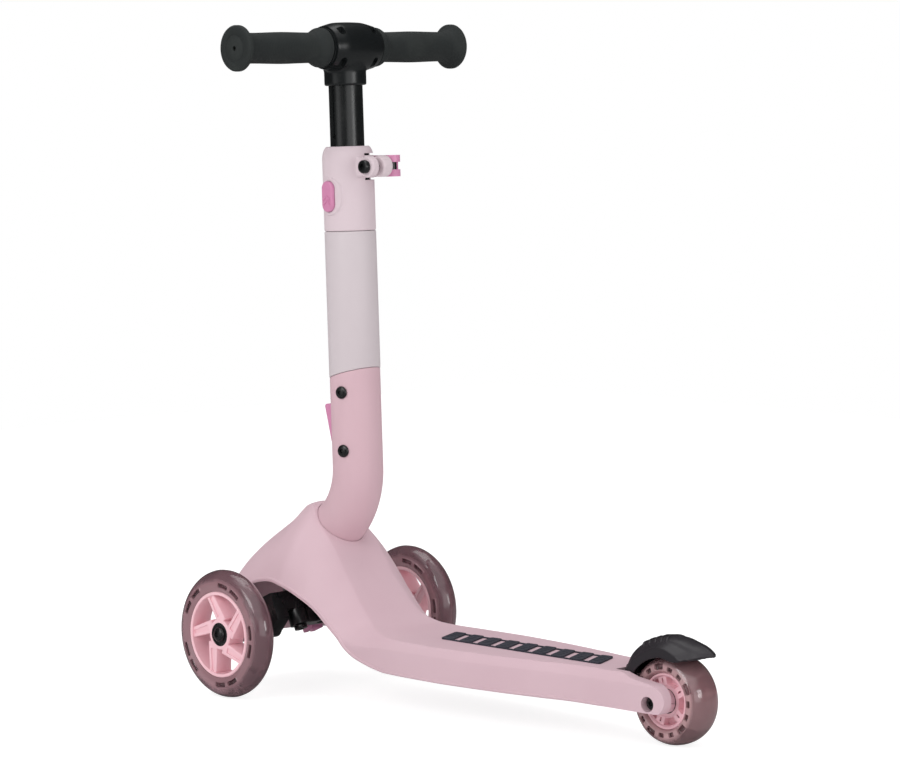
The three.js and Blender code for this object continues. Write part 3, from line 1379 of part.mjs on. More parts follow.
/** Slider in the beam's tongue that blocks the steering for beginners, held by a cap above the tongue. */
function steeringLockPiece() {
  const top = -beam.tongueTop - beam.tongueThickness - clearance;
  const capBottom = -beam.tongueTop + clearance;
  const body = boxBetween([-steeringLock.halfWidth, steeringLock.rear, top - steeringLock.height],
    [steeringLock.halfWidth, steeringLock.front, top]);
  const post = boxBetween([-steeringLock.postHalfWidth, steeringLock.postRear, top - clearance],
    [steeringLock.postHalfWidth, steeringLock.postFront, capBottom + clearance]);
  const cap = boxBetween([-steeringLock.postHalfWidth * 2, steeringLock.postRear, capBottom],
    [steeringLock.postHalfWidth * 2, steeringLock.postFront, capBottom + steeringLock.capHeight]);
  const groove = boxBetween([-steeringLock.halfWidth / 4, steeringLock.rear - overrun, top - steeringLock.height * 1.3],
    [steeringLock.halfWidth / 4, steeringLock.front + overrun, top - steeringLock.height * 0.9]);
  return piece('steering_lock', shaped([body, post, cap], [groove]), 'magenta');
}

// Rear axle and brake

/** Rear axle rod between the fork arms. */
function rearAxleRod() {
  const half = rearAxle.recessFloorX - clearance;
  const rod = rodX(rearAxle.radius, -half, half, 0, 0, segments.small);
  const threads = sides.map(({ sign }) => onSide(rodX(rearAxle.screwRadius + clearance / 3,
    half - rearAxle.screwDepth - clearance, half + overrun, 0, 0, segments.tiny), sign));
  return piece('rear_axle', shaped([rod], threads).translate(0, rearAxleY, rearWheel.radius), 'steel');
}

/** Headed screw in one end of the rear axle. */
function rearAxleScrew(name, sign) {
  const face = rearAxle.recessFloorX + clearance;
  const tip = rearAxle.recessFloorX - clearance - rearAxle.screwDepth;
  const headEnd = face + rearAxle.headLength;
  const shank = rodX(rearAxle.screwRadius, tip, face + clearance, rearAxleY, rearWheel.radius, segments.tiny);
  const head = rodX(rearAxle.headRadius, face, headEnd, rearAxleY, rearWheel.radius, segments.medium);
  const key = rodX(rearAxle.headRadius / 2, face + rearAxle.headLength / 2, headEnd + overrun, rearAxleY,
    rearWheel.radius, segments.corner);
  return piece(name, onSide(shaped([shank, head], [key]), sign), 'blackSteel');
}

// Fender profile above the rear axle, from its front foot over the wheel to the tail: place along as a share of
// the front reach or the tail reach, height as a share of the crown's rise.
const fenderFrontShares = [
  [0.99, 0.3], [1, 0.4], [0.98, 0.53], [0.93, 0.65], [0.81, 0.755], [0.65, 0.85], [0.46, 0.92], [0.24, 0.975],
];
const fenderRearShares = [[0, 1], [0.26, 0.985], [0.52, 0.935], [0.78, 0.885], [1, 0.79]];
// Skirt edge below the crown: a share of the way across, and its height as a share of the crown's rise.
const skirtShares = [
  [1, 0.73], [0.72, 0.69], [0.4, 0.665], [0.08, 0.68], [-0.14, 0.65], [-0.3, 0.58], [-0.44, 0.47], [-0.56, 0.36],
  [-0.7, 0.3],
];

const lugTopShare = 0.5;
const fenderTailUpShare = 0.79;

// Strips across the fender: place as a share of the half width, drop as a share of the crown's, setback of the
// front as a share of the largest, and how much of the tail the strip reaches.
const fenderStripShares = [
  { across: 1, drop: 1, setback: 1, tail: 0.41 },
  { across: 0.9, drop: 0.55, setback: 0.81, tail: 0.46 },
  { across: 0.6, drop: 0.16, setback: 0.36, tail: 0.65 },
  { across: 0.3, drop: 0.04, setback: 0.09, tail: 0.86 },
  { across: 0, drop: 0, setback: 0, tail: 1 },
];

/** How far a strip of the fender reaches forward at a height, as the front leans back towards the sides. */
function fenderReachAt(strip, up) {
  return fender.reachFront - fender.frontSetback * strip.setback * up;
}

/** Outer line of the fender seen from the side along one strip, drawn in by an inset. */
function fenderLine(strip, inset) {
  const rise = fender.crownRise - inset - fender.crownDrop * strip.drop;
  const front = fenderFrontShares.map(([ahead, up]) => [ahead * (fenderReachAt(strip, up) - inset), up * rise]);
  const rear = fenderRearShares.map(([back, up]) => [-back * tailReach * strip.tail, up * rise]);
  return [...front, ...rear];
}

/** One strip of the fender as a closed outline down to the skirt's edge. */
function fenderOutline(strip) {
  const skirt = skirtShares.map(([back, up]) => {
    const rearward = -back * tailReach * strip.tail;
    const forward = -back * fenderReachAt(strip, up);
    return [back > 0 ? rearward : forward, up * fender.crownRise];
  });
  return [...fenderLine(strip, 0), ...skirt];
}

/** Loft through the fender's strips from one side to the other. */
function fenderLoft(outlineOf, halfWidth) {
  const half = fenderStripShares.map((strip) => ({ x: strip.across * halfWidth, outline: outlineOf(strip) }));
  const mirrored = half.slice(0, -1).map(({ x, outline }) => ({ x: -x, outline }));
  return loft([...mirrored, ...half.reverse()].map(({ x, outline }) => outline.map(([y, z]) => new THREE.Vector3(x, y, z))));
}

/** Foot brake: a hooded fender that pivots in front of the rear wheel and presses on it. */
function fenderBrake() {
  const skin = fender.skinThickness;
  const roomOutline = (strip) => [
    ...fenderLine(strip, skin),
    [-tailReach - overrun, (fender.crownRise - skin - fender.crownDrop * strip.drop) * fenderTailUpShare],
    [-tailReach - overrun, 0],
    [(fenderReachAt(strip, fenderFrontShares[0][1]) - skin) * fenderFrontShares[0][0], 0],
  ];
  let body = solid(fenderLoft(fenderOutline, fender.halfWidth))
    .subtract(solid(fenderLoft(roomOutline, fender.halfWidth - skin)));
  const lugTop = fender.crownRise * lugTopShare;
  const lugFront = fender.reachFront - fender.frontSetback / 4;
  for (const { sign } of sides) {
    const lug = slab([
      ...arc(fender.pinForward, fender.pinRise, fender.bossRadius, 180, 360, segments.bend),
      [lugFront, lugTop],
      [lugFront - fender.lugDepth, lugTop],
    ], fender.lugInner, fender.lugOuter);
    body = body.add(solid(onSide(lug, sign)));
  }
  const pinHole = rodX(fender.pinRadius + clearance, -fender.halfWidth - overrun, fender.halfWidth + overrun,
    fender.pinForward, fender.pinRise, segments.tiny);
  body = body.subtract(solid(pinHole));
  return piece('fender_brake', shapeOf(body).translate(0, rearAxleY, rearWheel.radius), 'blackPlastic');
}

/** Hinge pin of the foot brake. */
function brakePin() {
  const half = slot.halfWidth + fender.pinGrip - clearance;
  const pin = rodX(fender.pinRadius, -half, half, fender.pinForward, fender.pinRise, segments.tiny);
  return piece('brake_pin', pin.translate(0, rearAxleY, rearWheel.radius), 'steel');
}

/** Return spring round the brake's hinge pin, between the two lugs. */
function brakeReturnSpring() {
  const half = fender.lugInner - clearance;
  const tube = spunX([
    [brakeSpring.radius - brakeSpring.wall, -half], [brakeSpring.radius, -half],
    [brakeSpring.radius, half], [brakeSpring.radius - brakeSpring.wall, half],
  ], segments.tiny);
  return piece('brake_spring', tube.translate(0, rearAxleY + fender.pinForward, rearWheel.radius + fender.pinRise), 'steel');
}

/** Friction pad under the fender, curved like the tyre. */
function brakePadPiece() {
  const strip = fenderStripShares[2];
  const line = fenderLine(strip, fender.skinThickness + clearance);
  const heightAt = (y) => {
    const k = line.findIndex(([along]) => along < y);
    const [y0, z0] = line[k - 1];
    const [y1, z1] = line[k];
    return z0 + ((z1 - z0) * (y - y0)) / (y1 - y0);
  };
  const under = arc(0, 0, rearWheel.radius + brakePad.gap, brakePad.frontAngleDegrees, brakePad.rearAngleDegrees, segments.corner);
  const over = under.map(([y]) => [y, heightAt(y)]).reverse();
  const pad = slab([...under, ...over], -brakePad.halfWidth, brakePad.halfWidth);
  return piece('brake_pad', pad.translate(0, rearAxleY, rearWheel.radius), 'blackRubber');
}

// Assembly

const scooter = new THREE.Group();

const stemFrame = stemGroup();
stemFrame.add(
  neckSleeve(),
  neckScrewAt('neck_screw_upper', neckScrewHeights.upper),
  neckScrewAt('neck_screw_lower', neckScrewHeights.lower),
  stemReleaseButton(),
  releaseSpring(),
  stemTube(),
  stemSpigot(),
  stemCollar(),
  collarLiner(),
  heightCatch(),
  heightSpring(),
  clampBolt(),
  clampLever(),
  handleSlideTube(),
  handleHub(),
  handleBar(),
  grip('grip_left', -1),
  grip('grip_right', 1),
);

const mechanism = mechanismGroup();
mechanism.add(frontBeam(), tieRodPiece(), steeringLockPiece());
for (const { name, sign } of sides) {
  mechanism.add(
    beamScrew(`beam_screw_${name}`, sign),
    kingpinRivet(`kingpin_${name}`, sign),
    centringSpring(`centring_spring_${name}`, sign),
    piece(`knuckle_${name}`, knuckleShape(sign), 'blackPlastic'),
    tieRodPin(`tie_rod_pin_${name}`, sign),
  );
}

scooter.add(deckShell(), deckGripStrip(), neckTube(), neckFootBolt(), stemFrame, mechanism);
for (const { name, sign } of sides) {
  const centre = new THREE.Vector3(sign * halfTrack, frontAxleY, frontWheel.radius);
  scooter.add(...wheelPieces(`${name}_wheel`, frontWheel, frontTyreShares, centre), frontAxleBolt(`${name}_wheel_bolt`, sign));
}
const rearCentre = new THREE.Vector3(0, rearAxleY, rearWheel.radius);
scooter.add(
  ...wheelPieces('rear_wheel', rearWheel, rearTyreShares, rearCentre),
  rearAxleRod(),
  rearAxleScrew('rear_axle_screw_left', -1),
  rearAxleScrew('rear_axle_screw_right', 1),
  fenderBrake(),
  brakePin(),
  brakeReturnSpring(),
  brakePadPiece(),
);

export default scooter;
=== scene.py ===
"""Looks of a three-wheel kids scooter: pink deck and hood, telescopic stem, smoky wheels, foot brake.

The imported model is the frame: every piece sits where the construction says, in metres, with +X to the
rider's right, +Y in the direction of travel and +Z up. Drafts are in millimetres and scaled at the end.
"""

import itertools
import json
import logging
import math
from abc import ABC, abstractmethod
from contextlib import contextmanager
from dataclasses import dataclass
from enum import Enum
from typing import Callable, Iterable, Iterator, Optional, Sequence, Union

import bmesh
import bpy
import numpy as np
from mathutils import Matrix, Vector


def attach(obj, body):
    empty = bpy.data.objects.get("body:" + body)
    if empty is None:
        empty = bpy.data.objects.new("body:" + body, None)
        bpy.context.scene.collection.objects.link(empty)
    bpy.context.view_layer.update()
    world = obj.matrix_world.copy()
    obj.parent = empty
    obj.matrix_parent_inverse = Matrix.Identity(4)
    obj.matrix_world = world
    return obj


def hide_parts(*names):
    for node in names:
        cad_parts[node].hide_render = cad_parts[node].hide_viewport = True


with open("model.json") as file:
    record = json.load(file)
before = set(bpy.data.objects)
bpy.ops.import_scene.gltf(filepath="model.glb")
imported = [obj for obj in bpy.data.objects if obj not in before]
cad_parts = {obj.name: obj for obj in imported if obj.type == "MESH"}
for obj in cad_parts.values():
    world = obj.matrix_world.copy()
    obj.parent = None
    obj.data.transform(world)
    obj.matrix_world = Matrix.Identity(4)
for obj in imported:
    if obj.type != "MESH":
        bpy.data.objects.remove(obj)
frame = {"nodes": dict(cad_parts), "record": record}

log = logging.getLogger("scooter")

MM = 0.001  # a millimetre in the scene's metres
WELD = 0.0005  # points closer than this many millimetres are merged
SOFT_EDGE = 0.0002  # how softly the shader ends a tyre's pockets, in metres
FULL_TURN = 2 * math.pi
MIRROR = Matrix.Scale(-1, 4, (1, 0, 0))
SIDES = ((-1, "left"), (1, "right"))

Flat = tuple[float, float]
Ring = np.ndarray
Value = Union["Wire", float]


class Slot(Enum):
    """The record's material slots."""

    DECK_PINK = "deck_pink"
    NECK_PINK = "neck_pink"
    PALE_PINK = "pale_pink"
    PALE_LILAC = "pale_lilac"
    MAGENTA = "magenta"
    RIM_PINK = "rim_pink"
    SMOKY_TYRE = "smoky_tyre"
    BLACK_PLASTIC = "black_plastic"
    BLACK_RUBBER = "black_rubber"
    BLACK_STEEL = "black_steel"
    STEEL = "steel"


class Axis(Enum):
    """The axis that a turned or extruded piece is drafted along."""

    X = "x"
    Y = "y"
    Z = "z"

    def point(self, along: float, a: float, b: float) -> tuple[float, float, float]:
        """A point from its place along the axis and its two places across it."""
        return {Axis.X: (along, a, b), Axis.Y: (a, along, b), Axis.Z: (a, b, along)}[self]


def shift(x: float, y: float, z: float) -> Matrix:
    """A move without a turn."""
    return Matrix.Translation((x, y, z))


def tilt(degrees: float) -> Matrix:
    """A turn about the X axis."""
    return Matrix.Rotation(math.radians(degrees), 4, "X")


@dataclass(frozen=True)
class Layout:
    """Places and sizes that several sub-assemblies share, in millimetres and degrees."""

    wheelbase: float = 462
    half_track: float = 118
    nose_reach: float = 76
    tail_reach: float = 45
    clearance: float = 0.3
    deck_top: float = 63.7
    slot_front: float = 51
    hood_length: float = 150
    recess_floor: float = 28
    neck_back: float = 54.4
    neck_height: float = 209.5
    bend_radius: float = 60
    bend_degrees: float = 51
    foot_radius_x: float = 24
    foot_radius_y: float = 25
    foot_shift: float = 3
    foot_depth: float = 22
    straight: float = 91
    seam_tilt: float = 14
    stem_lean: float = 2.2
    kingpin_setback: float = 11.5
    kingpin_height: float = 75.5
    kingpin_tilt: float = 24
    front_radius: float = 60
    rear_radius: float = 40

    @property
    def front_y(self) -> float:
        """Place of the front axle along the scooter."""
        return (self.wheelbase + self.tail_reach - self.nose_reach) / 2

    @property
    def rear_y(self) -> float:
        """Place of the rear axle along the scooter."""
        return self.front_y - self.wheelbase

    def neck_frame(self) -> Matrix:
        """The upright frame of the neck, at the top of its bend."""
        return shift(0, self.front_y - self.neck_back, self.neck_height)

    def stem_frame(self) -> Matrix:
        """The leaning frame of the stem, at the same place."""
        return self.neck_frame() @ tilt(-self.stem_lean)

    def seam_height(self, y: float) -> float:
        """Height of the tilted seam between neck and stem, in the stem's frame."""
        return self.straight - y * math.tan(math.radians(self.seam_tilt))

    def rear_frame(self) -> Matrix:
        """The frame of the rear axle."""
        return shift(0, self.rear_y, self.rear_radius)

    def front_frame(self, side: int) -> Matrix:
        """The frame of one front wheel: side is -1 for the rider's left, 1 for the right."""
        return shift(side * self.half_track, self.front_y, self.front_radius)


LAYOUT = Layout()


def tint(red: int, green: int, blue: int) -> tuple[float, float, float, float]:
    """Turns a screen colour into the linear colour that a shader takes.

    Args:
        red: Red from 0 to 255.
        green: Green from 0 to 255.
        blue: Blue from 0 to 255.

    Returns:
        The linear colour with full alpha.
    """
    channels = []
    for part in (red / 255, green / 255, blue / 255):
        channels.append(part / 12.92 if part <= 0.04045 else ((part + 0.055) / 1.055) ** 2.4)
    return (channels[0], channels[1], channels[2], 1.0)


def eased(places: Sequence[float], heights: Sequence[float], wanted: np.ndarray) -> np.ndarray:
    """Reads a smooth curve through points that never swings past them.

    Args:
        places: Places of the points, rising.
        heights: Heights of the points.
        wanted: Places to read the curve at.

    Returns:
        The curve's heights at the wanted places.
    """
    x = np.asarray(places, float)
    y = np.asarray(heights, float)
    run = np.diff(x)
    rise = np.diff(y) / run
    slope = np.zeros(len(x))
    slope[0], slope[-1] = rise[0], rise[-1]
    for i in range(1, len(x) - 1):
        if rise[i - 1] * rise[i] > 0:
            near = 2 * run[i] + run[i - 1]
            far = run[i] + 2 * run[i - 1]
            slope[i] = (near + far) / (near / rise[i - 1] + far / rise[i])
    wanted = np.clip(np.asarray(wanted, float), x[0], x[-1])
    k = np.clip(np.searchsorted(x, wanted) - 1, 0, len(x) - 2)
    t = (wanted - x[k]) / run[k]
    start = (1 + 2 * t) * (1 - t) ** 2 * y[k] + t * (1 - t) ** 2 * run[k] * slope[k]
    end = t * t * (3 - 2 * t) * y[k + 1] - t * t * (1 - t) * run[k] * slope[k + 1]
    return start + end


def softened(line: np.ndarray, passes: int, closed: bool = False) -> np.ndarray:
    """Rounds the corners of a line by cutting them off again and again.

    Args:
        line: The line's points, one a row.
        passes: How often the corners are cut.
        closed: Whether the line comes back to its start.

    Returns:
        The rounded line.
    """
    for _ in range(passes):
        near = line if closed else line[:-1]
        far = np.roll(line, -1, axis=0) if closed else line[1:]
        pairs = np.stack([near * 0.75 + far * 0.25, near * 0.25 + far * 0.75], axis=1)
        pairs = pairs.reshape(-1, line.shape[1])
        line = pairs if closed else np.concatenate([line[:1], pairs[1:-1], line[-1:]])
    return line


def circle(steps: int) -> np.ndarray:
    """The angles of a full turn in equal steps, in radians."""
    return np.linspace(0, FULL_TURN, steps, endpoint=False)


def arc(centre: Flat, radius: float, start: float, end: float, steps: int) -> list[Flat]:
    """Points of an arc between two angles in degrees, one more than the steps."""
    angles = np.radians(np.linspace(start, end, steps + 1))
    return [(centre[0] + radius * math.cos(a), centre[1] + radius * math.sin(a)) for a in angles]


def disc(radius: float, steps: int = 48, centre: Flat = (0, 0)) -> list[Flat]:
    """A closed round outline."""
    return arc(centre, radius, 0, 360, steps)[:-1]


def sector(inner: float, outer: float, middle: float, half: float, steps: int) -> list[Flat]:
    """A closed piece of a ring, half its length to each side of a middle angle in degrees."""
    outline = arc((0, 0), outer, middle - half, middle + half, steps)
    return outline + arc((0, 0), inner, middle + half, middle - half, steps)


def mirrored(profile: Sequence[Flat]) -> list[Flat]:
    """A profile for turning, followed by its mirror image at the other end of the axis."""
    return [*profile, *((radius, -place) for radius, place in reversed(profile))]


def stadium(half_width: float, half_height: float, steps: int = 16) -> list[Flat]:
    """An upright closed outline with round ends."""
    rise = half_height - half_width
    return arc((0, rise), half_width, 0, 180, steps) + arc((0, -rise), half_width, 180, 360, steps)


def rounded_box(half_width: float, half_height: float, radius: float, steps: int = 6) -> list[Flat]:
    """A rectangle with round corners.

    Args:
        half_width: Half the width.
        half_height: Half the height.
        radius: Radius of the corners.
        steps: Steps in each corner.

    Returns:
        The closed outline.
    """
    outline: list[Flat] = []
    for across, up, turn in ((1, 1, 0), (-1, 1, 90), (-1, -1, 180), (1, -1, 270)):
        centre = (across * (half_width - radius), up * (half_height - radius))
        outline += arc(centre, radius, turn, turn + 90, steps)
    return outline


def linked(name: str, data: bpy.types.ID) -> bpy.types.Object:
    """A new object in the scene."""
    body = bpy.data.objects.new(name, data)
    bpy.context.scene.collection.objects.link(body)
    return body


class Solid:
    """A closed mesh in millimetres that can be cut, joined, rounded and placed."""

    def __init__(self, points: Iterable[Sequence[float]], faces: Iterable[Sequence[int]]) -> None:
        """Makes the mesh.

        Args:
            points: The corners.
            faces: The faces as lists of corner numbers.
        """
        mesh = bpy.data.meshes.new("draft")
        mesh.from_pydata([tuple(map(float, p)) for p in points], [], [tuple(map(int, f)) for f in faces])
        self.body = linked("draft", mesh)
        with self._opened() as draft:
            bmesh.ops.remove_doubles(draft, verts=draft.verts, dist=WELD)
            bmesh.ops.dissolve_degenerate(draft, dist=WELD, edges=draft.edges)
            bmesh.ops.recalc_face_normals(draft, faces=draft.faces)

    @classmethod
    def from_rings(cls, rings: Sequence[Ring], looped: bool = False) -> "Solid":
        """Skins a row of rings with equal numbers of points.

        Args:
            rings: The rings, each an array of points.
            looped: Whether the last ring meets the first, or each end is capped.

        Returns:
            The solid.
        """
        stack = np.asarray(rings, float)
        rows, count = stack.shape[:2]
        faces: list[Sequence[int]] = []
        for i in range(rows if looped else rows - 1):
            a, b = i * count, ((i + 1) % rows) * count
            faces += [(a + j, a + (j + 1) % count, b + (j + 1) % count, b + j) for j in range(count)]
        if not looped:
            faces.append(list(range(count))[::-1])
            faces.append([(rows - 1) * count + j for j in range(count)])
        return cls(stack.reshape(-1, 3), faces)

    @classmethod
    def turned(cls, profile: Sequence[Flat], steps: int = 96, axis: Axis = Axis.X) -> "Solid":
        """Spins a closed profile round an axis.

        Args:
            profile: Closed profile of (radius, place along the axis).
            steps: Steps in a turn.
            axis: The axis to spin round.

        Returns:
            The solid.
        """
        rings = []
        for angle in circle(steps):
            c, s = math.cos(angle), math.sin(angle)
            a, b = (s, -c) if axis is Axis.X else (c, s)
            rings.append([axis.point(place, r * a, r * b) for r, place in profile])
        return cls.from_rings(rings, looped=True)

    @classmethod
    def extruded(cls, outline: Sequence[Flat], low: float, high: float, axis: Axis = Axis.X) -> "Solid":
        """Extrudes a closed outline of (y, z), (x, z) or (x, y) from low to high along the axis across it."""
        return cls.from_rings([[axis.point(level, a, b) for a, b in outline] for level in (low, high)])

    @classmethod
    def tube(cls, path: np.ndarray, radius: float, sides: int = 12) -> "Solid":
        """A round tube along an open path.

        Args:
            path: The path's points.
            radius: The tube's radius.
            sides: Points round the tube.

        Returns:
            The solid.
        """
        path = np.asarray(path, float)
        ahead = np.gradient(path, axis=0)
        ahead /= np.linalg.norm(ahead, axis=1)[:, None]
        across = np.cross(ahead[0], (0.37, 0.53, 0.76))
        rings = []
        for point, direction in zip(path, ahead):
            across = across - direction * across.dot(direction)
            across /= np.linalg.norm(across)
            other = np.cross(direction, across)
            spokes = [across * math.cos(t) + other * math.sin(t) for t in circle(sides)]
            rings.append([point + radius * spoke for spoke in spokes])
        return cls.from_rings(rings)

    @classmethod
    def copy_of(cls, node: str) -> "Solid":
        """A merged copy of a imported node, in millimetres.

        Args:
            node: The node's name.

        Returns:
            The solid.
        """
        mesh = frame["nodes"][node].data
        solid = cls([v.co / MM for v in mesh.vertices], [tuple(p.vertices) for p in mesh.polygons])
        with solid._opened() as draft:
            bmesh.ops.dissolve_limit(draft, angle_limit=math.radians(1), verts=draft.verts, edges=draft.edges)
        return solid

    @contextmanager
    def _opened(self) -> Iterator[bmesh.types.BMesh]:
        """Opens the mesh for editing and writes it back.

        Yields:
            The open mesh.
        """
        draft = bmesh.new()
        draft.from_mesh(self.body.data)
        yield draft
        draft.to_mesh(self.body.data)
        draft.free()

    def settle(self) -> "Solid":
        """Turns the modifiers' result into the plain mesh."""
        evaluated = self.body.evaluated_get(bpy.context.evaluated_depsgraph_get())
        mesh = bpy.data.meshes.new_from_object(evaluated)
        old = self.body.data
        self.body.modifiers.clear()
        self.body.data = mesh
        bpy.data.meshes.remove(old)
        return self

    def _combined(self, other: "Solid", operation: str) -> "Solid":
        """Joins, cuts or trims with another solid, which is used up.

        Args:
            other: The other solid.
            operation: UNION, DIFFERENCE or INTERSECT.

        Returns:
            This solid.
        """
        tool = self.body.modifiers.new("combine", "BOOLEAN")
        tool.operation = operation
        tool.solver = "MANIFOLD"
        tool.object = other.body
        self.settle()
        other.discard()
        return self

    def add(self, other: "Solid") -> "Solid":
        """Joins another solid to this one."""
        return self._combined(other, "UNION")

    def cut(self, other: "Solid") -> "Solid":
        """Cuts another solid out of this one."""
        return self._combined(other, "DIFFERENCE")

    def trim(self, other: "Solid") -> "Solid":
        """Keeps what this solid shares with another."""
        return self._combined(other, "INTERSECT")

    def beside(self, other: "Solid") -> "Solid":
        """Takes another solid's faces into this mesh without cutting them."""
        with self._opened() as draft:
            draft.from_mesh(other.body.data)
        other.discard()
        return self

    def bevel(self, width: float, steps: int = 2, angle: float = 35) -> "Solid":
        """Rounds the sharp edges.

        Args:
            width: The round's width.
            steps: Faces across the round.
            angle: Edges sharper than this many degrees are rounded.

        Returns:
            This solid.
        """
        tool = self.body.modifiers.new("round", "BEVEL")
        tool.width = width
        tool.segments = steps
        tool.limit_method = "ANGLE"
        tool.angle_limit = math.radians(angle)
        return self.settle()

    def blended(self, voxel: float, passes: int) -> "Solid":
        """Melts joined forms into one skin with soft inner corners.

        Args:
            voxel: Size of the skin's faces.
            passes: How often the skin is smoothed.

        Returns:
            This solid.
        """
        skin = self.body.modifiers.new("skin", "REMESH")
        skin.mode = "VOXEL"
        skin.voxel_size = voxel
        soft = self.body.modifiers.new("soft", "SMOOTH")
        soft.factor = 0.5
        soft.iterations = passes
        return self.settle()

    def moved(self, matrix: Matrix) -> "Solid":
        """Moves the mesh, and turns its faces out again after a mirror."""
        self.body.data.transform(matrix)
        if matrix.determinant() < 0:
            self.body.data.flip_normals()
        return self

    def on_side(self, side: int) -> "Solid":
        """Mirrors a piece that was drafted for the right to the left, if the side is -1."""
        return self.moved(MIRROR) if side < 0 else self

    def shade(self, angle: float = 32) -> "Solid":
        """Shades the mesh smooth, apart from edges sharper than an angle in degrees."""
        mesh = self.body.data
        mesh.polygons.foreach_set("use_smooth", [True] * len(mesh.polygons))
        mesh.set_sharp_from_angle(angle=math.radians(angle))
        return self

    def discard(self) -> None:
        """Deletes the solid."""
        mesh = self.body.data
        bpy.data.objects.remove(self.body)
        bpy.data.meshes.remove(mesh)


def block(low: Sequence[float], high: Sequence[float]) -> Solid:
    """A rectangular block between its lowest and highest corners."""
    outline = [(low[0], low[1]), (high[0], low[1]), (high[0], high[1]), (low[0], high[1])]
    return Solid.extruded(outline, low[2], high[2], Axis.Z)


def rod(
    radius: float, low: float, high: float, steps: int = 48, centre: Flat = (0, 0), axis: Axis = Axis.X
) -> Solid:
    """A plain rod from low to high along an axis, with its centre across the axis."""
    return Solid.extruded(disc(radius, steps, centre), low, high, axis)


def hexagon(radius: float, low: float, high: float) -> Solid:
    """A six-sided key hole along the X axis."""
    return rod(radius, low, high, 6)


def sided(outline: Sequence[Flat], side: int, near: float, far: float, axis: Axis = Axis.X) -> Solid:
    """An outline extruded on one side of the middle, between two distances from it."""
    low, high = sorted((side * near, side * far))
    return Solid.extruded(outline, low, high, axis)


class Wire:
    """A node's output that sums and products can be written with."""

    def __init__(self, sheet: "NodeSheet", socket: bpy.types.NodeSocket) -> None:
        """Keeps the output and the sheet that its maths is added to."""
        self.sheet = sheet
        self.socket = socket

    def __add__(self, other: Value) -> "Wire":
        """Adds."""
        return self.sheet.maths("ADD", self, other)

    def __radd__(self, other: Value) -> "Wire":
        """Adds, with this wire on the right."""
        return self.sheet.maths("ADD", other, self)

    def __sub__(self, other: Value) -> "Wire":
        """Subtracts."""
        return self.sheet.maths("SUBTRACT", self, other)

    def __rsub__(self, other: Value) -> "Wire":
        """Subtracts this wire."""
        return self.sheet.maths("SUBTRACT", other, self)

    def __mul__(self, other: Value) -> "Wire":
        """Multiplies."""
        return self.sheet.maths("MULTIPLY", self, other)

    def __rmul__(self, other: Value) -> "Wire":
        """Multiplies, with this wire on the right."""
        return self.sheet.maths("MULTIPLY", other, self)

    def __truediv__(self, other: Value) -> "Wire":
        """Divides."""
        return self.sheet.maths("DIVIDE", self, other)

    def __rtruediv__(self, other: Value) -> "Wire":
        """Divides by this wire."""
        return self.sheet.maths("DIVIDE", other, self)

    def within(self, low: float, high: float) -> "Wire":
        """Stretches the span from low to high over 0 to 1, with soft ends.

        Args:
            low: What becomes 0.
            high: What becomes 1.

        Returns:
            The stretched value.
        """
        settings = {"interpolation_type": "SMOOTHSTEP"}
        values = {"Value": self, "From Min": low, "From Max": high}
        return self.sheet.put("ShaderNodeMapRange", settings, values)


class NodeSheet:
    """A node tree that nodes are put on one by one."""

    def __init__(self, tree: bpy.types.NodeTree) -> None:
        """Keeps the tree."""
        self.tree = tree

    @classmethod
    def cleared(cls, owner: bpy.types.ID) -> "NodeSheet":
        """An empty sheet in a material or a world."""
        owner.use_nodes = True
        owner.node_tree.nodes.clear()
        return cls(owner.node_tree)

    def put(
        self,
        kind: str,
        settings: Optional[dict] = None,
        values: Optional[dict] = None,
        output: Union[int, str] = 0,
    ) -> Wire:
        """Adds a node.

        Args:
            kind: The node's type.
            settings: Its settings, which are set first.
            values: What its inputs hold or are linked to, by name or number.
            output: Which output the wire carries.

        Returns:
            The output as a wire.
        """
        node = self.tree.nodes.new(kind)
        for name, setting in (settings or {}).items():
            setattr(node, name, setting)
        for key, value in (values or {}).items():
            if isinstance(value, Wire):
                self.tree.links.new(value.socket, node.inputs[key])
            else:
                node.inputs[key].default_value = value
        return Wire(self, node.outputs[output])

    def finish_with(self, kind: str, result: Wire, key: Union[int, str] = "Surface") -> None:
        """Adds the node that the tree ends in and links the result to it."""
        self.tree.links.new(result.socket, self.tree.nodes.new(kind).inputs[key])

    def maths(self, operation: str, *values: Value) -> Wire:
        """Adds a Math node for one or two values."""
        return self.put("ShaderNodeMath", {"operation": operation}, dict(enumerate(values)))

    def blend(self, share: Value, low: object, high: object) -> Wire:
        """Mixes two colours: a share of 0 gives low, 1 gives high."""
        return self.put("ShaderNodeMix", {"data_type": "RGBA"}, {0: share, 6: low, 7: high}, output=2)


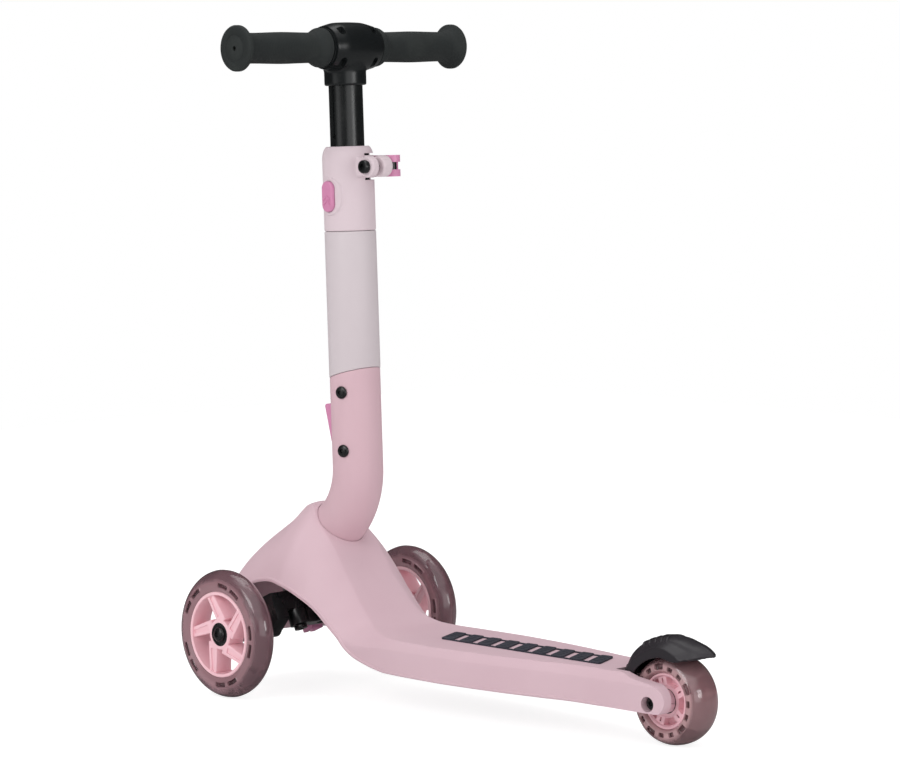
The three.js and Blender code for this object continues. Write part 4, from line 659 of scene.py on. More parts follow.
class GeometrySheet(NodeSheet):
    """A Geometry Nodes tree with named inputs, which ends in Realize Instances and Set Material."""

    def __init__(self, name: str) -> None:
        """Makes the tree with a geometry input and output and a finish input.

        Args:
            name: The tree's name.
        """
        tree = bpy.data.node_groups.new(name, "GeometryNodeTree")
        super().__init__(tree)
        tree.interface.new_socket("Geometry", in_out="INPUT", socket_type="NodeSocketGeometry")
        tree.interface.new_socket("Geometry", in_out="OUTPUT", socket_type="NodeSocketGeometry")
        tree.interface.new_socket("Finish", in_out="INPUT", socket_type="NodeSocketMaterial")
        self.start = tree.nodes.new("NodeGroupInput")

    def size(self, name: str, kind: str) -> Wire:
        """Adds a named input of a kind such as Int, Float, Vector or Object."""
        self.tree.interface.new_socket(name, in_out="INPUT", socket_type=f"NodeSocket{kind}")
        return self.given(name)

    def given(self, name: str = "Geometry") -> Wire:
        """An input that is already there."""
        return Wire(self, self.start.outputs[name])

    def end(self, points: Wire, instance: Wire, **turn: Wire) -> "GeometrySheet":
        """Sets an instance on each point, makes the instances real, sets the finish and ends the tree.

        Args:
            points: Where the instances go.
            instance: What goes there.
            turn: The instances' Rotation, if they have one.

        Returns:
            This sheet.
        """
        values = {"Points": points, "Instance": instance, **turn}
        copies = self.put("GeometryNodeInstanceOnPoints", values=values)
        real = self.put("GeometryNodeRealizeInstances", values={"Geometry": copies})
        values = {"Geometry": real, "Material": self.given("Finish")}
        self.finish_with("NodeGroupOutput", self.put("GeometryNodeSetMaterial", values=values), 0)
        return self

    def grow(self, host: Solid, sizes: dict[str, object]) -> Solid:
        """Runs the tree on a solid and keeps the result as its plain mesh.

        Args:
            host: The solid that the tree starts from.
            sizes: Values of the named inputs.

        Returns:
            The host with its new mesh.
        """
        tool = host.body.modifiers.new(self.tree.name, "NODES")
        tool.node_group = self.tree
        for item in self.tree.interface.items_tree:
            if item.item_type == "SOCKET" and item.in_out == "INPUT" and item.name in sizes:
                tool[item.identifier] = sizes[item.name]
        return host.settle()


def round_tree() -> GeometrySheet:
    """Copies the given geometry round the X axis, a number of times from a first angle."""
    sheet = GeometrySheet("round_pattern")
    count = sheet.size("Count", "Int")
    first = sheet.size("First Angle", "Float")
    angle = first + sheet.put("GeometryNodeInputIndex") * (FULL_TURN / count)
    turn = sheet.put("ShaderNodeCombineXYZ", values={"X": angle})
    points = sheet.put("GeometryNodePoints", values={"Count": count})
    return sheet.end(points, sheet.given(), Rotation=turn)


def row_tree() -> GeometrySheet:
    """Copies the given geometry in a straight row, a number of times with a step between."""
    sheet = GeometrySheet("row_pattern")
    values = {"Count": sheet.size("Count", "Int"), "Offset": sheet.size("Step", "Vector")}
    return sheet.end(sheet.put("GeometryNodeMeshLine", {"mode": "OFFSET"}, values), sheet.given())


def seat_tree() -> GeometrySheet:
    """Sets a copy of a chosen object on each given point, turned as the point's turn attribute says."""
    sheet = GeometrySheet("seat_pattern")
    values = {"Object": sheet.size("Piece", "Object")}
    shape = sheet.put("GeometryNodeObjectInfo", {"transform_space": "ORIGINAL"}, values, "Geometry")
    turn = sheet.put("GeometryNodeInputNamedAttribute", {"data_type": "FLOAT_VECTOR"}, {"Name": "turn"})
    return sheet.end(sheet.given(), shape, Rotation=turn)


def seated(piece: Solid, places: Sequence[tuple[Sequence[float], Sequence[float]]]) -> Solid:
    """Copies a piece to several places with the seat pattern.

    Args:
        piece: The piece, which is used up.
        places: Pairs of a place and a turn about X, Y and Z in radians.

    Returns:
        The copies as one solid.
    """
    host = Solid([], [])
    host.body.data.from_pydata([place for place, _ in places], [], [])
    turns = host.body.data.attributes.new("turn", "FLOAT_VECTOR", "POINT")
    turns.data.foreach_set("vector", [part for _, turn in places for part in turn])
    seat_tree().grow(host, {"Piece": piece.body})
    piece.discard()
    return host


def bumped(sheet: NodeSheet, height: Wire, depth: float, strength: float) -> Wire:
    """The normal with a small relief: its height, its depth in metres and how much of it shows."""
    return sheet.put("ShaderNodeBump", values={"Strength": strength, "Distance": depth, "Height": height})


def worn_edge(sheet: NodeSheet, low: float, high: float) -> Wire:
    """How far a place is out on an edge, from 0 to 1 between two values of the pointiness."""
    return sheet.put("ShaderNodeNewGeometry", output="Pointiness").within(low, high)


def noise(sheet: NodeSheet, scale: float, detail: float = 2.0, stretch: Sequence[float] = (1, 1, 1)) -> Wire:
    """Noise on the object's own coordinates.

    Args:
        sheet: The material's sheet.
        scale: Waves to the metre.
        detail: Number of finer layers.
        stretch: How much tighter the noise is along each axis.

    Returns:
        The noise from 0 to 1.
    """
    place = sheet.put("ShaderNodeTexCoord", output="Object")
    mapped = sheet.put("ShaderNodeMapping", values={"Vector": place, "Scale": stretch})
    return sheet.put("ShaderNodeTexNoise", values={"Vector": mapped, "Scale": scale, "Detail": detail})


@dataclass(frozen=True)
class Finish(ABC):
    """A surface finish that can be made into a material."""

    name: str
    slot: Slot

    def material(self) -> bpy.types.Material:
        """The finish's material, made the first time it is asked for."""
        found = bpy.data.materials.get(self.name)
        if found:
            return found
        material = bpy.data.materials.new(self.name)
        sheet = NodeSheet.cleared(material)
        sheet.finish_with("ShaderNodeOutputMaterial", self.paint(sheet))
        return material

    @abstractmethod
    def paint(self, sheet: NodeSheet) -> Wire:
        """Puts the finish's nodes on a sheet.

        Args:
            sheet: The material's sheet.

        Returns:
            The shader.
        """


@dataclass(frozen=True)
class MouldedPlastic(Finish):
    """Moulded plastic with a fine spark-eroded grain, faint flow mottling and lightly rubbed edges."""

    colour: tuple = (0.8, 0.8, 0.8, 1)
    deeper: tuple = (0.7, 0.7, 0.7, 1)
    roughness: float = 0.45
    grain: float = 0.00003
    grain_scale: float = 1500
    coat: float = 0.0

    def paint(self, sheet: NodeSheet) -> Wire:
        """Puts the plastic's nodes on a sheet."""
        flow = noise(sheet, 14, 3)
        fine = noise(sheet, self.grain_scale, 1)
        scuffs = noise(sheet, 90, 4, (1, 0.35, 1)).within(0.56, 0.72)
        edge = worn_edge(sheet, 0.54, 0.66)
        body = sheet.blend(flow.within(0.3, 0.75) * 0.5, self.colour, self.deeper)
        pale = tuple(min(1.0, part * 1.15) for part in self.colour[:3]) + (1.0,)
        worn = sheet.blend(edge * 0.3, body, pale)
        speckled = sheet.blend(fine.within(0.62, 0.8) * 0.12, worn, self.deeper)
        rough = self.roughness + flow * 0.06 + scuffs * 0.07 - edge * 0.05
        values = {
            "Base Color": speckled,
            "Roughness": rough,
            "Normal": bumped(sheet, fine + flow * 0.3, self.grain, 0.6),
            "Specular IOR Level": 0.42,
            "Coat Weight": self.coat,
            "Coat Roughness": 0.2,
        }
        return sheet.put("ShaderNodeBsdfPrincipled", values=values)


@dataclass(frozen=True)
class SoftRubber(Finish):
    """Matt rubber with a stippled skin, dusty high spots and darker hollows."""

    colour: tuple = (0.02, 0.02, 0.02, 1)
    dusty: tuple = (0.06, 0.06, 0.06, 1)
    roughness: float = 0.75
    stipple: float = 0.00008
    stipple_scale: float = 900

    def paint(self, sheet: NodeSheet) -> Wire:
        """Puts the rubber's nodes on a sheet."""
        place = sheet.put("ShaderNodeTexCoord", output="Object")
        cells = sheet.put("ShaderNodeTexVoronoi", values={"Vector": place, "Scale": self.stipple_scale})
        broad = noise(sheet, 35, 4)
        edge = worn_edge(sheet, 0.51, 0.6)
        dust = broad.within(0.45, 0.75) * 0.4 + edge * 0.4
        values = {
            "Base Color": sheet.blend(dust, self.colour, self.dusty),
            "Roughness": self.roughness + broad * 0.12 - edge * 0.1,
            "Normal": bumped(sheet, cells + broad * 0.2, self.stipple, 0.5),
            "Specular IOR Level": 0.35,
        }
        return sheet.put("ShaderNodeBsdfPrincipled", values=values)


@dataclass(frozen=True)
class SatinMetal(Finish):
    """Metal or painted metal with fine drawn lines along it and faint handling marks."""

    colour: tuple = (0.6, 0.6, 0.6, 1)
    marked: tuple = (0.5, 0.5, 0.5, 1)
    metallic: float = 1.0
    roughness: float = 0.3
    line_stretch: tuple = (1, 1, 0.03)

    def paint(self, sheet: NodeSheet) -> Wire:
        """Puts the metal's nodes on a sheet."""
        lines = noise(sheet, 1200, 2, self.line_stretch)
        marks = noise(sheet, 60, 4).within(0.5, 0.75)
        edge = worn_edge(sheet, 0.52, 0.62)
        values = {
            "Base Color": sheet.blend(marks * 0.5 + edge * 0.3, self.colour, self.marked),
            "Metallic": self.metallic,
            "Roughness": self.roughness + lines * 0.08 + marks * 0.08,
            "Normal": bumped(sheet, lines, 0.00001, 0.4),
        }
        return sheet.put("ShaderNodeBsdfPrincipled", values=values)


@dataclass(frozen=True)
class SmokyTyre(Finish):
    """Smoky see-through polyurethane: paler by the rim, darker in the tread, with faint moulding bands and
    painted shade in its pockets.
    """

    centre: tuple = (0.0, 0.0)
    rim_radius: float = 0.04
    radius: float = 0.06
    pale: tuple = (0.4, 0.3, 0.32, 1)
    smoke: tuple = (0.15, 0.1, 0.12, 1)
    # deep: the colour of the painted shade on the floors of the pockets
    deep: tuple = (0.1, 0.05, 0.06, 1)
    bands: int = 5
    first_band: float = 0.0
    milkiness: float = 0.3
    clearness: float = 0.7
    track: float = 0.0
    half_width: float = 0.012
    # slots: the radial span of the pockets, whose floors get painted shade
    slots: Flat = (0.0, 0.0)

    def paint(self, sheet: NodeSheet) -> Wire:
        """Puts the tyre's nodes on a sheet."""
        place = sheet.put("ShaderNodeTexCoord", output="Object")
        split = sheet.put("ShaderNodeSeparateXYZ", values={0: place}).socket.node
        x, y, z = (Wire(sheet, socket) for socket in split.outputs)
        across = sheet.maths("ABSOLUTE", sheet.maths("ABSOLUTE", x) - self.track) / self.half_width
        forward = y - self.centre[0]
        upward = z - self.centre[1]
        reach = sheet.maths("SQRT", forward * forward + upward * upward)
        outward = (reach - self.rim_radius) / (self.radius - self.rim_radius)
        turn = sheet.maths("ARCTAN2", upward, forward)
        wave = sheet.maths("COSINE", (turn - math.radians(self.first_band)) * self.bands)
        cloud = noise(sheet, 45, 3)
        ring = reach.within(self.slots[0] - SOFT_EDGE, self.slots[0])
        ring = ring * (1 - reach.within(self.slots[1], self.slots[1] + SOFT_EDGE))
        # sunk: painted shade that darkens the pocket floors, within the pockets' span and inside the tyre's
        # faces
        sunk = ring * (1 - across.within(0.84, 0.93))
        tread = outward.within(0.42, 0.7) * 0.85
        panel = wave.within(0.55, 0.8) * outward.within(0.2, 0.3) * 0.25
        # the mix share takes the pockets' painted shade as well as the darker tread, the bands and the cloud
        dark = tread + panel * (1 - ring) + sunk * 0.9 + cloud.within(0.4, 0.8) * 0.06
        rough = 0.08 + cloud * 0.05
        relief = bumped(sheet, cloud, 0.0001, 0.08)
        milky = {
            "Base Color": self.pale,
            "Roughness": rough + 0.12,
            "Normal": relief,
            "Transmission Weight": self.milkiness,
            "Coat Weight": 0.3,
            "Coat Roughness": 0.05,
        }
        clear = {
            # the clear shader's colour darkens to the painted shade colour on the pocket floors
            "Base Color": sheet.blend(sunk, self.smoke, self.deep),
            "Roughness": rough,
            "Normal": relief,
            "IOR": 1.48,
            "Transmission Weight": self.clearness,
            "Coat Weight": 0.4,
            "Coat Roughness": 0.04,
        }
        inner, outer = (sheet.put("ShaderNodeBsdfPrincipled", values=values) for values in (milky, clear))
        return sheet.put("ShaderNodeMixShader", values={0: dark, 1: inner, 2: outer})


DECK_PINK = MouldedPlastic("deck_pink_plastic", Slot.DECK_PINK, tint(212, 182, 191), tint(206, 174, 184), 0.5)
NECK_PINK = MouldedPlastic("neck_pink_plastic", Slot.NECK_PINK, tint(212, 178, 187), tint(205, 170, 180), 0.5)
PALE_PINK = MouldedPlastic("pale_pink_plastic", Slot.PALE_PINK, tint(216, 199, 205), tint(211, 193, 200), 0.5)
PALE_LILAC = MouldedPlastic(
    "pale_lilac_plastic", Slot.PALE_LILAC, tint(207, 196, 200), tint(202, 191, 195), 0.46
)
MAGENTA = MouldedPlastic(
    "magenta_plastic", Slot.MAGENTA, tint(211, 138, 176), tint(203, 127, 166), 0.36, coat=0.2
)
RIM_PINK = MouldedPlastic(
    "rim_pink_plastic", Slot.RIM_PINK, tint(244, 199, 207), tint(240, 187, 198), 0.38, coat=0.15
)
BLACK_PLASTIC = MouldedPlastic(
    "satin_black_plastic", Slot.BLACK_PLASTIC, tint(20, 23, 24), tint(14, 17, 19), 0.26, 0.00002, 1100
)
FENDER_GREY = MouldedPlastic(
    "fender_grey_plastic", Slot.BLACK_PLASTIC, tint(40, 36, 41), tint(31, 28, 33), 0.4, 0.00005, 1000
)
GRIP_RUBBER = SoftRubber("grip_rubber", Slot.BLACK_RUBBER, tint(34, 38, 38), tint(50, 54, 52))
TREAD_RUBBER = SoftRubber("tread_rubber", Slot.BLACK_RUBBER, tint(50, 51, 61), tint(72, 73, 84), 0.7)
BLACK_STEEL = SatinMetal("painted_black_steel", Slot.BLACK_STEEL, tint(17, 19, 20), tint(27, 29, 29), 0, 0.24)
STEEL = SatinMetal("drawn_steel", Slot.STEEL, tint(176, 178, 181), tint(150, 152, 156), 1.0, 0.28)
FRONT_SMOKE = SmokyTyre(
    "front_tyre_smoke",
    Slot.SMOKY_TYRE,
    (LAYOUT.front_y * MM, LAYOUT.front_radius * MM),
    0.0403,
    0.06,
    tint(168, 129, 136),
    tint(149, 116, 125),
    # painted shade colour for the floors of the pockets
    tint(101, 67, 74),
    first_band=146.5,
    track=LAYOUT.half_track * MM,
    slots=(0.0447, 0.0493),
)
REAR_SMOKE = SmokyTyre(
    "rear_tyre_smoke",
    Slot.SMOKY_TYRE,
    (LAYOUT.rear_y * MM, LAYOUT.rear_radius * MM),
    0.0248,
    0.04,
    tint(206, 166, 169),
    tint(174, 138, 143),
    # painted shade colour for the floors of the pockets
    tint(134, 96, 101),
    first_band=81,
    half_width=0.0176,
    slots=(0.0276, 0.0336),
)


def body_of(node: str) -> str:
    """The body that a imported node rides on."""
    bodies = frame["record"]["behaviour"]["bodies"]
    return next(body for body, nodes in bodies.items() if node in nodes)


def show(solid: Solid, name: str, finish: Finish, nodes: Sequence[str], smooth: float = 32) -> None:
    """Turns a drafted solid into a finished piece of the scene.

    Args:
        solid: The solid in millimetres, where the scooter has it.
        name: The piece's name.
        finish: Its finish.
        nodes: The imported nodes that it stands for.
        smooth: Edges sharper than this many degrees stay crisp.
    """
    solid.moved(Matrix.Scale(MM, 4)).shade(smooth)
    piece = solid.body
    piece.name = name
    piece.data.name = name
    piece.data.materials.clear()
    piece.data.materials.append(finish.material())
    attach(piece, body_of(nodes[0]))
    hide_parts(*nodes)
    log.info("%s: %d faces on %s", name, len(piece.data.polygons), body_of(nodes[0]))


class Assembly(ABC):
    """A sub-assembly that drafts its pieces and dresses them."""

    @abstractmethod
    def build(self) -> None:
        """Drafts the pieces and hands them to the scene."""


@dataclass
class DeckAndHood(Assembly):
    """The pink moulding: deck, hood over the front mechanism, fork arms and the neck's socket."""

    deck_bottom: float = 32
    deck_half_width: float = 59
    edge_round: float = 6
    edge_drop: float = 8.7
    tail_half_width: float = 37
    crest_height: float = 176.5
    hood_half_width: float = 74
    crease_half_width: float = 30
    crown: float = 2.5
    lip_height: float = 42
    arch_height: float = 105
    arch_front: float = 47
    wall: float = 3.2
    slot_half_width: float = 23.5
    rib_wall: float = 2.4
    rib_pitch: float = 44
    rib_rail: float = 19
    rib_inset: float = 4
    column_x: float = 15
    column_half_x: float = 5.5
    column_half_y: float = 12
    column_foot: float = 18.3
    lip_bead: float = 1.9
    lip_fade: float = 22
    seam_gap: float = 0.45
    socket_wall: float = 2.6
    socket_floor: float = 4
    arm_radius: float = 14.5
    arm_back: float = 1.5
    arm_rise: float = 3
    arm_drop_start: float = 34
    arm_drop_height: float = 60.3
    arm_round_start: float = 3
    arm_tip_share: float = 0.35
    boss_root: float = 14
    boss_face: float = 11
    boss_face_x: float = 12.4
    boss_line_half: float = 0.25
    boss_chamfer: float = 0.6
    recess_radius: float = 6.85
    axle_bore: float = 4.3
    reach: float = 5
    deck_shares: tuple = (
        (-0.08, 0), (0.26, 0.07), (0.4, 0.39), (0.54, 0.7), (0.66, 0.88), (0.79, 1), (0.93, 1),
    )
    slope_shares: tuple = (
        (1, 0.005, 1.67, 0.79, 0), (0.833, 0.029, 1.4, 0.79, -0.03),
        (0.747, 0.069, 1.23, 0.797, -0.02), (0.687, 0.118, 1.1, 0.804, 0.0),
        (0.61, 0.215, 1.04, 0.818, 0.06), (0.54, 0.322, 1.01, 0.838, 0.18),
        (0.46, 0.44, 0.96, 0.865, 0.34), (0.387, 0.583, 0.96, 0.892, 0.5),
        (0.297, 0.725, 0.95, 0.932, 0.66), (0.193, 0.845, 0.88, 0.973, 0.76),
        (0.107, 0.956, 0.74, 1, 0.82), (0.053, 0.99, 0.58, 1, 0.84),
    )
    nose_shares: tuple = (
        (0.04, 0.975, 0.44, 1, 0.86), (0.15, 0.918, 0.42, 1, 0.88),
        (0.263, 0.854, 0.43, 0.997, 0.9), (0.46, 0.765, 0.45, 0.958, 0.9),
        (0.658, 0.676, 0.47, 0.862, 0.9), (0.79, 0.588, 0.47, 0.741, 0.88),
        (0.895, 0.49, 0.4, 0.577, 0.86), (0.96, 0.392, 0.3, 0.392, 0.84),
        (1, 0.296, 0.1, 0.12, 0.82),
    )
    leg_shares: tuple = (
        (1.05, 0), (0.92, 0.04), (0.827, 0.082), (0.72, 0.151), (0.647, 0.247), (0.6, 0.351), (0.513, 0.493),
        (0.453, 0.603), (0.38, 0.726), (0.287, 0.836), (0.18, 0.932), (0.08, 0.993), (0, 1),
    )
    front_shares: tuple = ((0.3, 0.96), (0.52, 0.9), (0.74, 0.79), (0.91, 0.62), (0.99, 0.4))
    bow_share: Flat = (0.62, 0.38)

    def _stations(self) -> dict[str, np.ndarray]:
        """The shell's sizes at each station, from the tables of shares."""
        rise = self.crest_height - LAYOUT.deck_top
        edge_height = LAYOUT.deck_top - self.edge_drop
        shoulder_rise = self.arch_height - edge_height
        rows = []
        for along, wide in self.deck_shares:
            half = self.tail_half_width + (self.deck_half_width - self.tail_half_width) * wide
            y = LAYOUT.rear_y + (LAYOUT.wheelbase - LAYOUT.hood_length) * along
            rows.append((y, LAYOUT.deck_top, 0, half - self.edge_round, half, edge_height))
        parts = ((self.slope_shares, -LAYOUT.hood_length), (self.nose_shares, LAYOUT.nose_reach))
        for shares, reach in parts:
            for along, top, crease, edge, shoulder in shares:
                rows.append((
                    LAYOUT.front_y + reach * along,
                    LAYOUT.deck_top + rise * top,
                    self.crown * min(top * 4, 1),
                    self.crease_half_width * crease,
                    self.hood_half_width * edge,
                    edge_height + shoulder_rise * shoulder,
                ))
        names = ("y", "top", "crown", "crease", "edge", "shoulder")
        return dict(zip(names, np.array(rows, float).T))

    def _half_section(self, y: float, inset: float = 0) -> np.ndarray:
        """The right half of a cross-section, from the ridge down to the deck's bottom.

        Args:
            y: Where the section is.
            inset: How far it is drawn in from the skin; then it goes down past the bottom.

        Returns:
            Points of (x, z).
        """
        bottom = -self.reach if inset else self.deck_bottom
        places = self.table["y"]
        at = {name: float(eased(places, row, np.array([y]))[0]) for name, row in self.table.items()}
        top = at["top"] - inset
        edge = max(at["edge"] - inset, inset)
        crease = max(min(at["crease"] - inset / 2, edge - inset / 2), inset / 2)
        shoulder = min(at["shoulder"], top - at["crown"] - inset / 2)
        crest = top - at["crown"]
        bow_x = crease + (edge - crease) * self.bow_share[0]
        bow_z = crest - (crest - shoulder) * self.bow_share[1]
        ridge = ((0, 0), (0.5, 0.25), (0.85, 0.72))
        points = [(crease * out, top - at["crown"] * down) for out, down in ridge]
        for t in np.linspace(0, 1, 7):
            near, middle, far = (1 - t) ** 2, 2 * t * (1 - t), t * t
            x = near * crease + middle * bow_x + far * edge
            points.append((x, near * crest + middle * bow_z + far * shoulder))
        points += [(edge, shoulder + (bottom - shoulder) * 0.5), (edge, bottom)]
        return softened(np.array(points), 2)

    def _ring(self, y: float, inset: float = 0, back: float = 0) -> Ring:
        """A whole cross-section as a closed ring.

        Args:
            y: Where the section is read.
            inset: How far it is drawn in from the skin.
            back: How far behind that place it lies.

        Returns:
            The ring.
        """
        half = self._half_section(y, inset)
        section = np.concatenate([half, half[1:][::-1] * (-1, 1)])
        return np.column_stack([section[:, 0], np.full(len(section), y - back), section[:, 1]])

    def _places(self) -> np.ndarray:
        """Places of the cross-sections, close together where the hood curves."""
        slope_start = LAYOUT.front_y - LAYOUT.hood_length * 1.05
        nose_end = LAYOUT.front_y + LAYOUT.nose_reach
        deck = np.arange(self.table["y"][0], slope_start, 11.0)
        hood = np.arange(slope_start, nose_end - 14, 3.0)
        nose = nose_end - 14 * (1 - np.sin(np.linspace(0, math.pi / 2, 9)))
        return np.concatenate([deck, hood, nose])

    def _skin(self) -> Solid:
        """The outer form as one closed solid."""
        return Solid.from_rings([self._ring(y) for y in self._places()])

    def _hollow(self, inset: float) -> Solid:
        """The space inside the shell, open below.

        Args:
            inset: Thickness of the wall round it.

        Returns:
            The space as a solid.
        """
        rear = LAYOUT.rear_y + LAYOUT.slot_front + inset
        rings = [self._ring(rear, inset)]
        for y in self._places():
            if y > rear + self.wall:
                ahead = y > LAYOUT.front_y + LAYOUT.nose_reach / 2
                rings.append(self._ring(y, inset, inset if ahead else 0))
        return Solid.from_rings(rings)

    def _underside(self) -> np.ndarray:
        """The lower edge of deck, wheel arch and nose seen from the side."""
        rise = self.arch_height - self.deck_bottom
        line = [(LAYOUT.rear_y - 100, self.deck_bottom)]
        for shares, reach in ((self.leg_shares, -LAYOUT.hood_length), (self.front_shares, self.arch_front)):
            line += [(LAYOUT.front_y + reach * along, self.deck_bottom + rise * up) for along, up in shares]
        corner = (LAYOUT.front_y + self.arch_front, self.lip_height)
        nose = (LAYOUT.front_y + LAYOUT.nose_reach + self.reach, self.lip_height)
        return np.concatenate([softened(np.array(line), 3), [corner, nose]])

    def _foot_frame(self) -> Matrix:
        """The frame of the neck's foot on its seam, with the hood below it."""
        bend = math.radians(LAYOUT.bend_degrees)
        y = LAYOUT.front_y - LAYOUT.neck_back + LAYOUT.bend_radius * (1 - math.cos(bend))
        z = LAYOUT.neck_height - LAYOUT.bend_radius * math.sin(bend)
        return shift(0, y, z) @ tilt(LAYOUT.bend_degrees) @ shift(0, -LAYOUT.foot_shift, 0)

    def _foot_rod(self, margin: float, low: float, high: float) -> Solid:
        """An oval rod in the foot's frame.

        Args:
            margin: How much wider than the foot it is.
            low: Where it starts.
            high: Where it ends.

        Returns:
            The rod.
        """
        rx, ry = LAYOUT.foot_radius_x + margin, LAYOUT.foot_radius_y + margin
        outline = [(rx * math.cos(t), ry * math.sin(t)) for t in circle(96)]
        return Solid.extruded(outline, low, high, Axis.Z).moved(self._foot_frame())

    def _arm(self, side: int) -> Solid:
        """One fork arm beside the rear wheel.

        Args:
            side: -1 for the rider's left, 1 for the right.

        Returns:
            The arm.
        """
        rear = LAYOUT.rear_y
        front = rear + LAYOUT.slot_front + self.reach
        start = rear + self.arm_round_start
        profile = [(front, self.deck_bottom), (front, LAYOUT.deck_top),
                   (rear + self.arm_drop_start, LAYOUT.deck_top),
                   (rear + self.arm_drop_start * 0.65, self.arm_drop_height)]
        centre = (rear - self.arm_back, LAYOUT.rear_radius + self.arm_rise)
        profile += arc(centre, self.arm_radius, 90, 270, 24)
        skin = self._half_section(start)[:, 0].max()
        width = skin + LAYOUT.clearance / 3 - self.slot_half_width
        run = self.arm_round_start + self.arm_back + self.arm_radius + self.reach / 2
        plan = [(self.slot_half_width, front), (self.slot_half_width, start - run)]
        for angle in np.linspace(math.pi / 2, 0, 17):
            share = self.arm_tip_share + (1 - self.arm_tip_share) * math.cos(angle)
            plan.append((self.slot_half_width + width * share, start - run * math.sin(angle)))
        outer = self.tail_half_width + self.reach
        plan += [(outer, start), (outer, front)]
        arm = self._skin().trim(Solid.extruded(profile, -LAYOUT.half_track, LAYOUT.half_track))
        return arm.trim(Solid.extruded(plan, 0, LAYOUT.deck_top + self.reach, Axis.Z).on_side(side))

    def _boss(self) -> Solid:
        """The cone between the right arm and the rear wheel's hub, with its moulding line."""
        start, end = self.boss_face_x, self.slot_half_width + self.wall
        face, cut, line = self.boss_face, self.boss_chamfer, self.boss_line_half
        profile = [(0, start), (face - cut, start), (face, start + cut), (self.boss_root, end), (0, end)]
        boss = Solid.turned(profile, 64)
        boss.cut(block((start - 1, -self.boss_root * 2, -line), (end + 1, -face * 0.92, line)))
        return boss.moved(LAYOUT.rear_frame())

    def _ribs(self) -> Solid:
        """Ribs under the deck, trimmed to the wall's middle."""
        first = LAYOUT.rear_y + LAYOUT.slot_front
        last = LAYOUT.front_y - LAYOUT.hood_length
        count = int((last - first) // self.rib_pitch)
        low, high = self.deck_bottom + self.rib_inset, LAYOUT.deck_top
        half, rail, width = self.rib_wall / 2, self.rib_rail, self.deck_half_width
        ribs = block((rail - half, first, low), (rail + half, last, high))
        ribs.add(block((-rail - half, first, low), (-rail + half, last, high)))
        for i in range(1, count + 1):
            y = first + (last - first) * i / count
            ribs.add(block((-width, y - half, low), (width, y + half, high)))
        return ribs.trim(self._hollow(self.wall / 2))

    def _lip(self, side: int) -> Solid:
        """The bead that rolls round the moulding's lower edge on one side.

        Args:
            side: -1 for the rider's left, 1 for the right.

        Returns:
            The bead.
        """
        line = self._underside()
        front = LAYOUT.front_y + LAYOUT.nose_reach - self.lip_bead
        rear = LAYOUT.rear_y + LAYOUT.slot_front - self.reach * 3
        places = np.concatenate([[(rear, self.deck_bottom)], line[line[:, 0] > rear + self.reach]])
        points = []
        for (y0, z0), (y1, z1) in zip(places[:-1], places[1:]):
            length = math.hypot(y1 - y0, z1 - z0)
            inward = np.array([z0 - z1, y1 - y0]) / max(length, LAYOUT.clearance)
            for t in np.linspace(0, 1, max(1, int(length / 2.5)), endpoint=False):
                y = y0 + (y1 - y0) * t + inward[0] * self.lip_bead * 0.8
                z = z0 + (z1 - z0) * t + inward[1] * self.lip_bead * 0.8
                if y < front:
                    half = self._half_section(y)
                    x = float(np.interp(-z, -half[:, 1], half[:, 0]))
                    sunk = self.lip_bead * (0.55 + max(0.0, 1 - (y - rear) / self.lip_fade))
                    points.append((side * max(x - sunk, 0.5), y, z))
        return Solid.tube(softened(np.array(points), 2), self.lip_bead)

    def _column(self, side: int) -> Solid:
        """A column under the hood that carries the front beam.

        Args:
            side: -1 for the rider's left, 1 for the right.

        Returns:
            The column.
        """
        x, wide, deep = side * self.column_x, self.column_half_x, self.column_half_y
        column = block((x - wide, -deep, self.column_foot), (x + wide, deep, self.crest_height))
        place = shift(0, LAYOUT.front_y - LAYOUT.kingpin_setback, LAYOUT.kingpin_height)
        return column.moved(place @ tilt(-LAYOUT.kingpin_tilt)).trim(self._hollow(self.wall / 2))

    def build(self) -> None:
        """Drafts the moulding and hands it to the scene."""
        self.table = self._stations()
        above = LAYOUT.deck_top + self.reach * 3
        wide = LAYOUT.half_track
        far = LAYOUT.rear_y - LAYOUT.tail_reach * 2
        shell = self._skin()
        shell.cut(block((-wide, far, -self.reach), (wide, LAYOUT.rear_y + self.arm_drop_start, above)))
        shell.cut(self._hollow(self.wall))
        shell.add(self._ribs())
        for side, _ in SIDES:
            shell.add(self._column(side))
        slot = rounded_box(self.slot_half_width, LAYOUT.rear_y + LAYOUT.slot_front - far, 3)
        shell.cut(Solid.extruded([(x, y + far) for x, y in slot], -self.reach, above, Axis.Z))
        for side, _ in SIDES:
            shell.add(self._arm(side))
            shell.add(self._boss().on_side(side))
        depth = LAYOUT.foot_depth + LAYOUT.clearance
        socket = self._foot_rod(self.seam_gap + self.socket_wall, -depth - self.socket_floor, 0)
        shell.add(socket.trim(self._skin()))
        shell.cut(self._foot_rod(self.seam_gap, -depth, self.reach * 4))
        under = [tuple(p) for p in self._underside()]
        under += [(under[-1][0], -self.reach), (under[0][0], -self.reach)]
        shell.cut(Solid.extruded(under, -wide, wide))
        outer = self.tail_half_width + self.reach
        for side, _ in SIDES:
            shell.add(self._lip(side))
            bore = sided(disc(self.recess_radius), side, LAYOUT.recess_floor, outer)
            shell.cut(bore.moved(LAYOUT.rear_frame()))
        shell.cut(rod(self.axle_bore, -outer * 2, outer * 2).moved(LAYOUT.rear_frame()))
        show(shell, "deck_and_hood", DECK_PINK, ["deck_shell"], 28)


